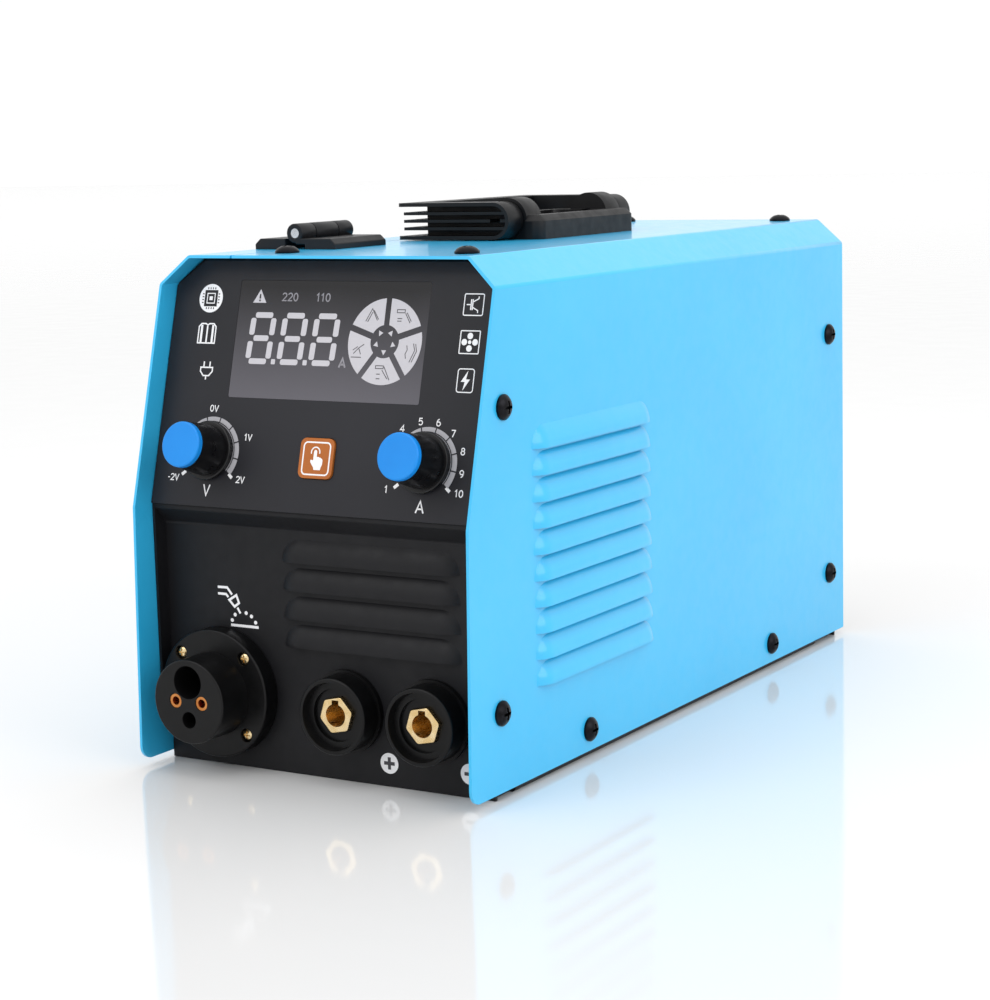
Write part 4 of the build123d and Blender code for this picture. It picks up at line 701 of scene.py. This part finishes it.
pie_shapes = [pie_sector(turn) for turn in PIE_TURNS]
pointer = [[(3.4, -1.15), (5.4, 0.0), (3.4, 1.15)]]
pie_shapes += [turned(pointer, turn) for turn in PIE_TURNS]
printed("display_modes", pie_shapes, on_display(*PIE_PLACE), GLYPH, GLYPH_INK)

# Small generic line symbols, one on each sector.
symbol_shapes = []
LINE = 0.32
SYMBOLS = {
    126: [[(-2.6, -2.2), (0.0, 2.8), (2.8, -1.8)], [(-1.7, -2.4), (0.3, 1.5)], [(0.8, 2.2), (3.3, -1.4)]],
    54: [[(-3.0, 2.6), (0.6, 2.6), (0.6, 1.4), (-3.0, 1.4), (-3.0, 2.6)], [(0.9, 1.2), (3.4, -2.6)],
         [(1.6, 1.4), (3.9, -2.0)], [(-2.6, -0.9), (-0.4, -0.9)], [(-2.6, -1.9), (-0.6, -1.9)]],
    342: [[(1.6, 3.4), (2.4, 0.6), (0.4, -4.0)], [(2.6, 3.2), (3.3, 0.4), (1.4, -4.0)],
          [(-1.4, 2.6), (-1.0, 0.8), (-1.8, -0.8), (-1.4, -2.6)]],
    270: [[(-2.9, 2.9), (0.7, 2.9), (0.7, 1.8), (-2.9, 1.8), (-2.9, 2.9)], [(1.0, 2.6), (4.0, -2.6)],
          [(0.2, 1.2), (3.0, -2.2)], [(-2.2, -0.4), (-0.6, -0.4)], [(-2.2, -2.2), (-0.5, -2.2)]],
    198: [[(-2.2, -1.2), (0.0, 1.0), (2.4, 2.6)], [(-2.6, 0.2), (-0.4, 1.6)], [(0.2, 0.8), (1.2, -1.4)],
          [(-3.2, -2.6), (1.6, -2.6)]],
}
SYMBOL_RADIUS = (PIE_OUTER + PIE_INNER) / 2 + 0.6
for turn, runs in SYMBOLS.items():
    dx, dy = SYMBOL_RADIUS * cos(radians(turn)), SYMBOL_RADIUS * sin(radians(turn))
    for run in runs:
        symbol_shapes += [shifted(shape, dx, dy) for shape in stroke(run, LINE)]
on_glyphs = on_display(*PIE_PLACE) @ Matrix.Translation((0, 0, GLYPH_INK))
printed("display_symbols", symbol_shapes, on_glyphs, DARK_INK, SYMBOL_INK)

# ------------------------------------------------------------------ fascia icons
LEFT_ICONS_X = -60.2 * MM
LEFT_SHIFTS = (0.0, 0.0, 2.0 * MM)   # the lowest left icon stands nearer to the middle
RIGHT_ICONS_X = 65.5 * MM
RIGHT_DROP = 0.9 * MM      # the right icons stand this far below the left ones
ICON_ROWS = [display_up + dy * MM for dy in (16.3, 1.8, -13.0)]


def chip_icon(place):
    """A round badge with a square chip and its legs cut out of it."""
    body = box(6.6, 6.8)[0]
    badge = [disc(5.9)[0], list(reversed(body))]
    legs = []
    for i in range(4):
        at = -1.8 + 1.2 * i
        for side in (-1, 1):
            legs.append(box(0.5, 0.8, (at, side * 4.1)))
            legs.append(box(0.8, 0.5, (side * 4.0, at)))
    printed("chip_badge", [badge], place, WHITE_INK)
    printed("chip_legs", legs, place @ Matrix.Translation((0, 0, INK)), DARK_INK, FINE_INK)
    printed("chip_die", [frame_of(4.2, 4.4, 0.4), box(1.6, 1.6)], place, WHITE_INK)


def book_icon(place):
    """An open book: two pages with a margin line each, either side of the spine."""
    shapes = stroke([(-4.3, -4.0), (-4.3, 2.8), (-3.1, 4.0), (-0.9, 4.0), (0.0, 3.4), (0.9, 4.0),
                     (3.1, 4.0), (4.3, 2.8), (4.3, -4.0), (-4.3, -4.0)], 0.55)
    for x, line in ((-2.8, 1.0), (0.0, 0.7), (2.8, 1.0)):
        shapes.append(box(line, 7.2, (x, -0.15)))
    return printed("book_icon", shapes, place, WHITE_INK)


def plug_icon(place):
    """A plain mains plug and lead, in line strokes."""
    shapes = stroke([(-3.0, 0.8), (3.0, 0.8), (3.0, -0.8), (1.4, -2.6), (-1.4, -2.6), (-3.0, -0.8),
                     (-3.0, 0.8)], 0.55)
    for side in (-1, 1):
        shapes += stroke([(side * 1.5, 0.9), (side * 1.5, 3.2)], 0.6)
    shapes += stroke([(0.0, -2.7), (0.0, -4.2)], 0.6)
    return printed("plug_icon", shapes, place, WHITE_INK)


def transistor_icon(place):
    """A transistor symbol in a square outline."""
    shapes = [frame_of(9.0, 8.7, 0.42, radius=0.8)]
    shapes += stroke([(-3.2, 0.0), (-1.2, 0.0)], 0.42)
    shapes += stroke([(-1.2, -2.1), (-1.2, 2.1)], 0.5)
    shapes += stroke([(-0.5, -2.1), (-0.5, 2.1)], 0.5)
    shapes += stroke([(-0.5, 1.0), (2.0, 2.3), (2.0, 3.2)], 0.42)
    shapes += stroke([(-0.5, -1.0), (2.0, -2.3), (2.0, -3.2)], 0.42)
    return printed("transistor_icon", shapes, place, WHITE_INK)


def fan_icon(place):
    """A four-bladed fan in a square outline."""
    shapes = [frame_of(9.0, 9.2, 0.42, radius=0.5)]
    for turn in (0, 90, 180, 270):
        dx, dy = 2.4 * cos(radians(turn)), 2.4 * sin(radians(turn))
        shapes.append(disc(1.25, (dx, dy), 20))
    shapes.append(disc(0.75, steps=16))
    return printed("fan_icon", shapes, place, WHITE_INK)


def bolt_icon(place):
    """A plain lightning bolt in a rounded outline."""
    bolt = [[(0.9, 3.9), (-2.0, -0.5), (-0.2, -0.5), (-0.9, -3.9), (2.0, 0.5), (0.2, 0.5)]]
    return printed("bolt_icon", [bolt, frame_of(7.6, 9.4, 0.4, radius=1.2)], place, WHITE_INK)


LEFT_ICONS = (chip_icon, book_icon, plug_icon)
RIGHT_ICONS = (transistor_icon, fan_icon, bolt_icon)
for draw, up, shift in zip(LEFT_ICONS, ICON_ROWS, LEFT_SHIFTS):
    draw(on_fascia(LEFT_ICONS_X + shift, up))
for draw, up in zip(RIGHT_ICONS, ICON_ROWS):
    draw(on_fascia(RIGHT_ICONS_X, up - RIGHT_DROP))


# ------------------------------------------------------------------ mode button
def pointing_hand(place):
    """A hand pressing with its first finger, and a ripple round the fingertip."""
    hand = [(-1.3, -0.6), (-1.3, 2.7), (-1.05, 3.25), (-0.55, 3.45), (-0.05, 3.25), (0.2, 2.7),
            (0.2, 0.6), (0.9, 0.75), (1.45, 0.5), (1.95, 0.45), (2.4, 0.15), (2.8, 0.0),
            (3.15, -0.5), (3.15, -2.2), (2.6, -3.4), (2.4, -4.5), (-0.7, -4.5), (-0.9, -3.6),
            (-2.3, -1.9), (-2.75, -1.0), (-2.3, -0.45), (-1.75, -0.75)]
    ripple = shifted(sector(1.75, 2.25, -15, 200, 16), -0.55, 2.5)
    return printed("key_hand", [[hand], ripple], place, WHITE_INK, body="mode_button")


BUTTON_PROUD = 0.9 * MM
button_up = up_the_fascia(middle("mode_button"))
key_place = on_fascia(middle("mode_button").x, button_up, BUTTON_PROUD)
pointing_hand(key_place)
printed("key_outline", [frame_of(13.2, 13.4, 0.6, radius=2.0)], key_place, WHITE_INK,
        body="mode_button")

# ------------------------------------------------------------------ lower panel marks
PICTURE_X, PICTURE_Z = 8.4 * MM, 36.6 * MM     # from the torch socket's middle
PLUS_X, MINUS_X = 18.8 * MM, 15.6 * MM         # from each power socket's middle
SIGN_DROP = 19.4 * MM
torch_middle = middle("torch_socket")


def torch_picture(place):
    """A torch with its hose, above a seam with a row of sparks."""
    shapes = stroke([(-10.0, 6.2), (-5.2, 6.3), (-2.9, 3.5)], 1.0)
    shapes += stroke([(-10.0, 3.5), (-5.9, 3.5), (-4.8, 2.3)], 1.0)
    shapes += stroke([(-4.4, 1.2), (-0.7, 3.4), (0.5, 0.3), (-1.8, -1.4), (-4.4, 1.2)], 1.0)
    shapes += stroke([(-0.4, -1.7), (1.0, -4.0)], 1.0)
    for spark in ((-3.3, -7.1), (-1.7, -4.7), (3.9, -3.6), (6.5, -4.8), (8.5, -7.2)):
        shapes.append(disc(0.8, spark, 14))
    shapes += stroke([(-4.0, -9.1), (9.9, -9.1)], 1.1)
    return printed("torch_picture", shapes, place, WHITE_INK)


torch_picture(on_lower_panel(torch_middle.x + PICTURE_X, torch_middle.z + PICTURE_Z))


def polarity_mark(name, x, z, plus):
    """A white disc with a dark plus or minus sign."""
    printed(name + "_disc", [disc(4.2)], on_lower_panel(x, z), WHITE_INK)
    arm, half = 2.5, 0.72
    sign = [box(2 * arm, 2 * half)]
    if plus:
        sign = [[[(-arm, -half), (-half, -half), (-half, -arm), (half, -arm), (half, -half),
                  (arm, -half), (arm, half), (half, half), (half, arm), (-half, arm),
                  (-half, half), (-arm, half)]]]
    place = on_lower_panel(x, z, INK)
    printed(name + "_sign", sign, place, DARK_INK, FINE_INK)


positive = middle("positive_socket")
negative = middle("negative_socket")
polarity_mark("plus", positive.x + PLUS_X, positive.z - SIGN_DROP, True)
polarity_mark("minus", negative.x + MINUS_X, negative.z - SIGN_DROP, False)

# ------------------------------------------------------------------ rear marks
SWITCH_WORDS_AWAY = 20 * MM     # above and below the switch's middle
switch = middle("power_switch")
lettering(
    "switch_words",
    [
        ("I", 3.6, on_rear_panel(switch.x, switch.z + SWITCH_WORDS_AWAY), 0.5),
        ("O", 3.6, on_rear_panel(switch.x, switch.z - SWITCH_WORDS_AWAY), 0.5),
    ],
    WHITE_INK,
)


# ------------------------------------------------------------------ wound welding wire
def wire_coil():
    """The wire on the spool: turns side by side, with the last layer ending part way."""
    low, high = (Vector(c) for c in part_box("wire_coil"))
    centre = (low + high) / 2
    outer = (high.z - low.z) / 2
    inner = 22.0 * MM
    wire_radius = 0.5 * MM
    last_layer = 0.7        # share of the width that the last layer covers
    sunk = 1.75             # past it, the turns' middles lie this many wire radii in from the rim
    steps = 6               # along each turn's visible half
    rounds = 96
    turns = int((high.x - low.x) / (2 * wire_radius))
    start = low.x + ((high.x - low.x) - 2 * wire_radius * turns) / 2
    profile = [(low.x, inner)]
    for i in range(turns):
        layer = outer - (wire_radius if i < turns * last_layer else sunk * wire_radius)
        for step in range(1, steps):
            turn = pi * (1 - step / steps)
            x = start + wire_radius * (2 * i + 1 + cos(turn))
            profile.append((x, layer + wire_radius * sin(turn)))
    profile.append((high.x, inner))
    mesh = bmesh.new()
    rings = []
    for k in range(rounds):
        turn = 2 * pi * k / rounds
        rings.append([
            mesh.verts.new((x, centre.y + r * cos(turn), centre.z + r * sin(turn)))
            for x, r in profile
        ])
    count = len(profile)
    for k in range(rounds):
        here, there = rings[k], rings[(k + 1) % rounds]
        for i in range(count):
            j = (i + 1) % count
            mesh.faces.new((here[i], here[j], there[j], there[i]))
    for face in mesh.faces:
        face.smooth = True
    piece = piece_from("wound_wire", mesh, WELD_WIRE, "wire_spool")
    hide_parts("wire_coil")
    return piece


wire_coil()


# ------------------------------------------------------------------ camera, light and floor
CAMERA_PLACE = (0.5317, -0.9073, 0.2519)
CAMERA_YAW = 31.13
CAMERA_PITCH = 8.76
CAMERA_ROLL = -1.49
CAMERA_LENS = 84.3
SENSOR_WIDTH = 36
LIGHT_TARGET = (0, 0, 0.1)

scene = bpy.context.scene
scene.view_settings.view_transform = "Standard"


def add_camera():
    """The camera, turned about the upright, then tipped and rolled."""
    yaw, pitch, roll = (radians(a) for a in (CAMERA_YAW, CAMERA_PITCH, CAMERA_ROLL))
    back = Vector((sin(yaw) * cos(pitch), -cos(yaw) * cos(pitch), sin(pitch)))
    right = Vector((cos(yaw), sin(yaw), 0))
    up = back.cross(right)
    tilted_right = right * cos(roll) + up * sin(roll)
    tilted_up = up * cos(roll) - right * sin(roll)
    data = bpy.data.cameras.new("camera")
    data.lens = CAMERA_LENS
    data.sensor_width = SENSOR_WIDTH
    camera = bpy.data.objects.new("camera", data)
    turn = Matrix((tilted_right, tilted_up, back)).transposed().to_4x4()
    camera.matrix_world = Matrix.Translation(CAMERA_PLACE) @ turn
    scene.collection.objects.link(camera)
    scene.camera = camera


def soft_light(name, place, size, power):
    """A large rectangular light that faces the object."""
    data = bpy.data.lights.new(name, "AREA")
    data.shape = "RECTANGLE"
    data.size, data.size_y = size
    data.energy = power
    light = bpy.data.objects.new(name, data)
    direction = Vector(LIGHT_TARGET) - Vector(place)
    turn = direction.to_track_quat("-Z", "Y").to_matrix().to_4x4()
    light.matrix_world = Matrix.Translation(place) @ turn
    scene.collection.objects.link(light)


def add_floor():
    """A plain pale glossy floor, which isn't part of the object."""
    mesh = bmesh.new()
    reach = 12.0
    corners = [mesh.verts.new((x, y, 0)) for x, y in
               ((-reach, -reach), (reach, -reach), (reach, reach), (-reach, reach))]
    mesh.faces.new(corners)
    data = bpy.data.meshes.new("floor")
    mesh.to_mesh(data)
    mesh.free()
    floor = bpy.data.objects.new("floor", data)
    scene.collection.objects.link(floor)
    surface = Surface("floor_white", "#E7E7E7", 0.08)
    surface.gloss(surface.noise(40, 2), 0.06, 0.09)
    data.materials.append(surface.material)


def add_world():
    """Even white light from all round."""
    world = bpy.data.worlds.new("studio")
    world.use_nodes = True
    sky = world.node_tree.nodes["Background"]
    sky.inputs["Color"].default_value = (1, 1, 1, 1)
    sky.inputs["Strength"].default_value = 1.02
    scene.world = world


add_camera()
add_world()
add_floor()
soft_light("key", (-0.6, -1.6, 1.6), (1.4, 1.0), 9)
soft_light("side", (1.9, -0.2, 1.0), (1.6, 1.2), 12)
soft_light("top", (0.1, 0.3, 1.8), (1.6, 1.6), 6)
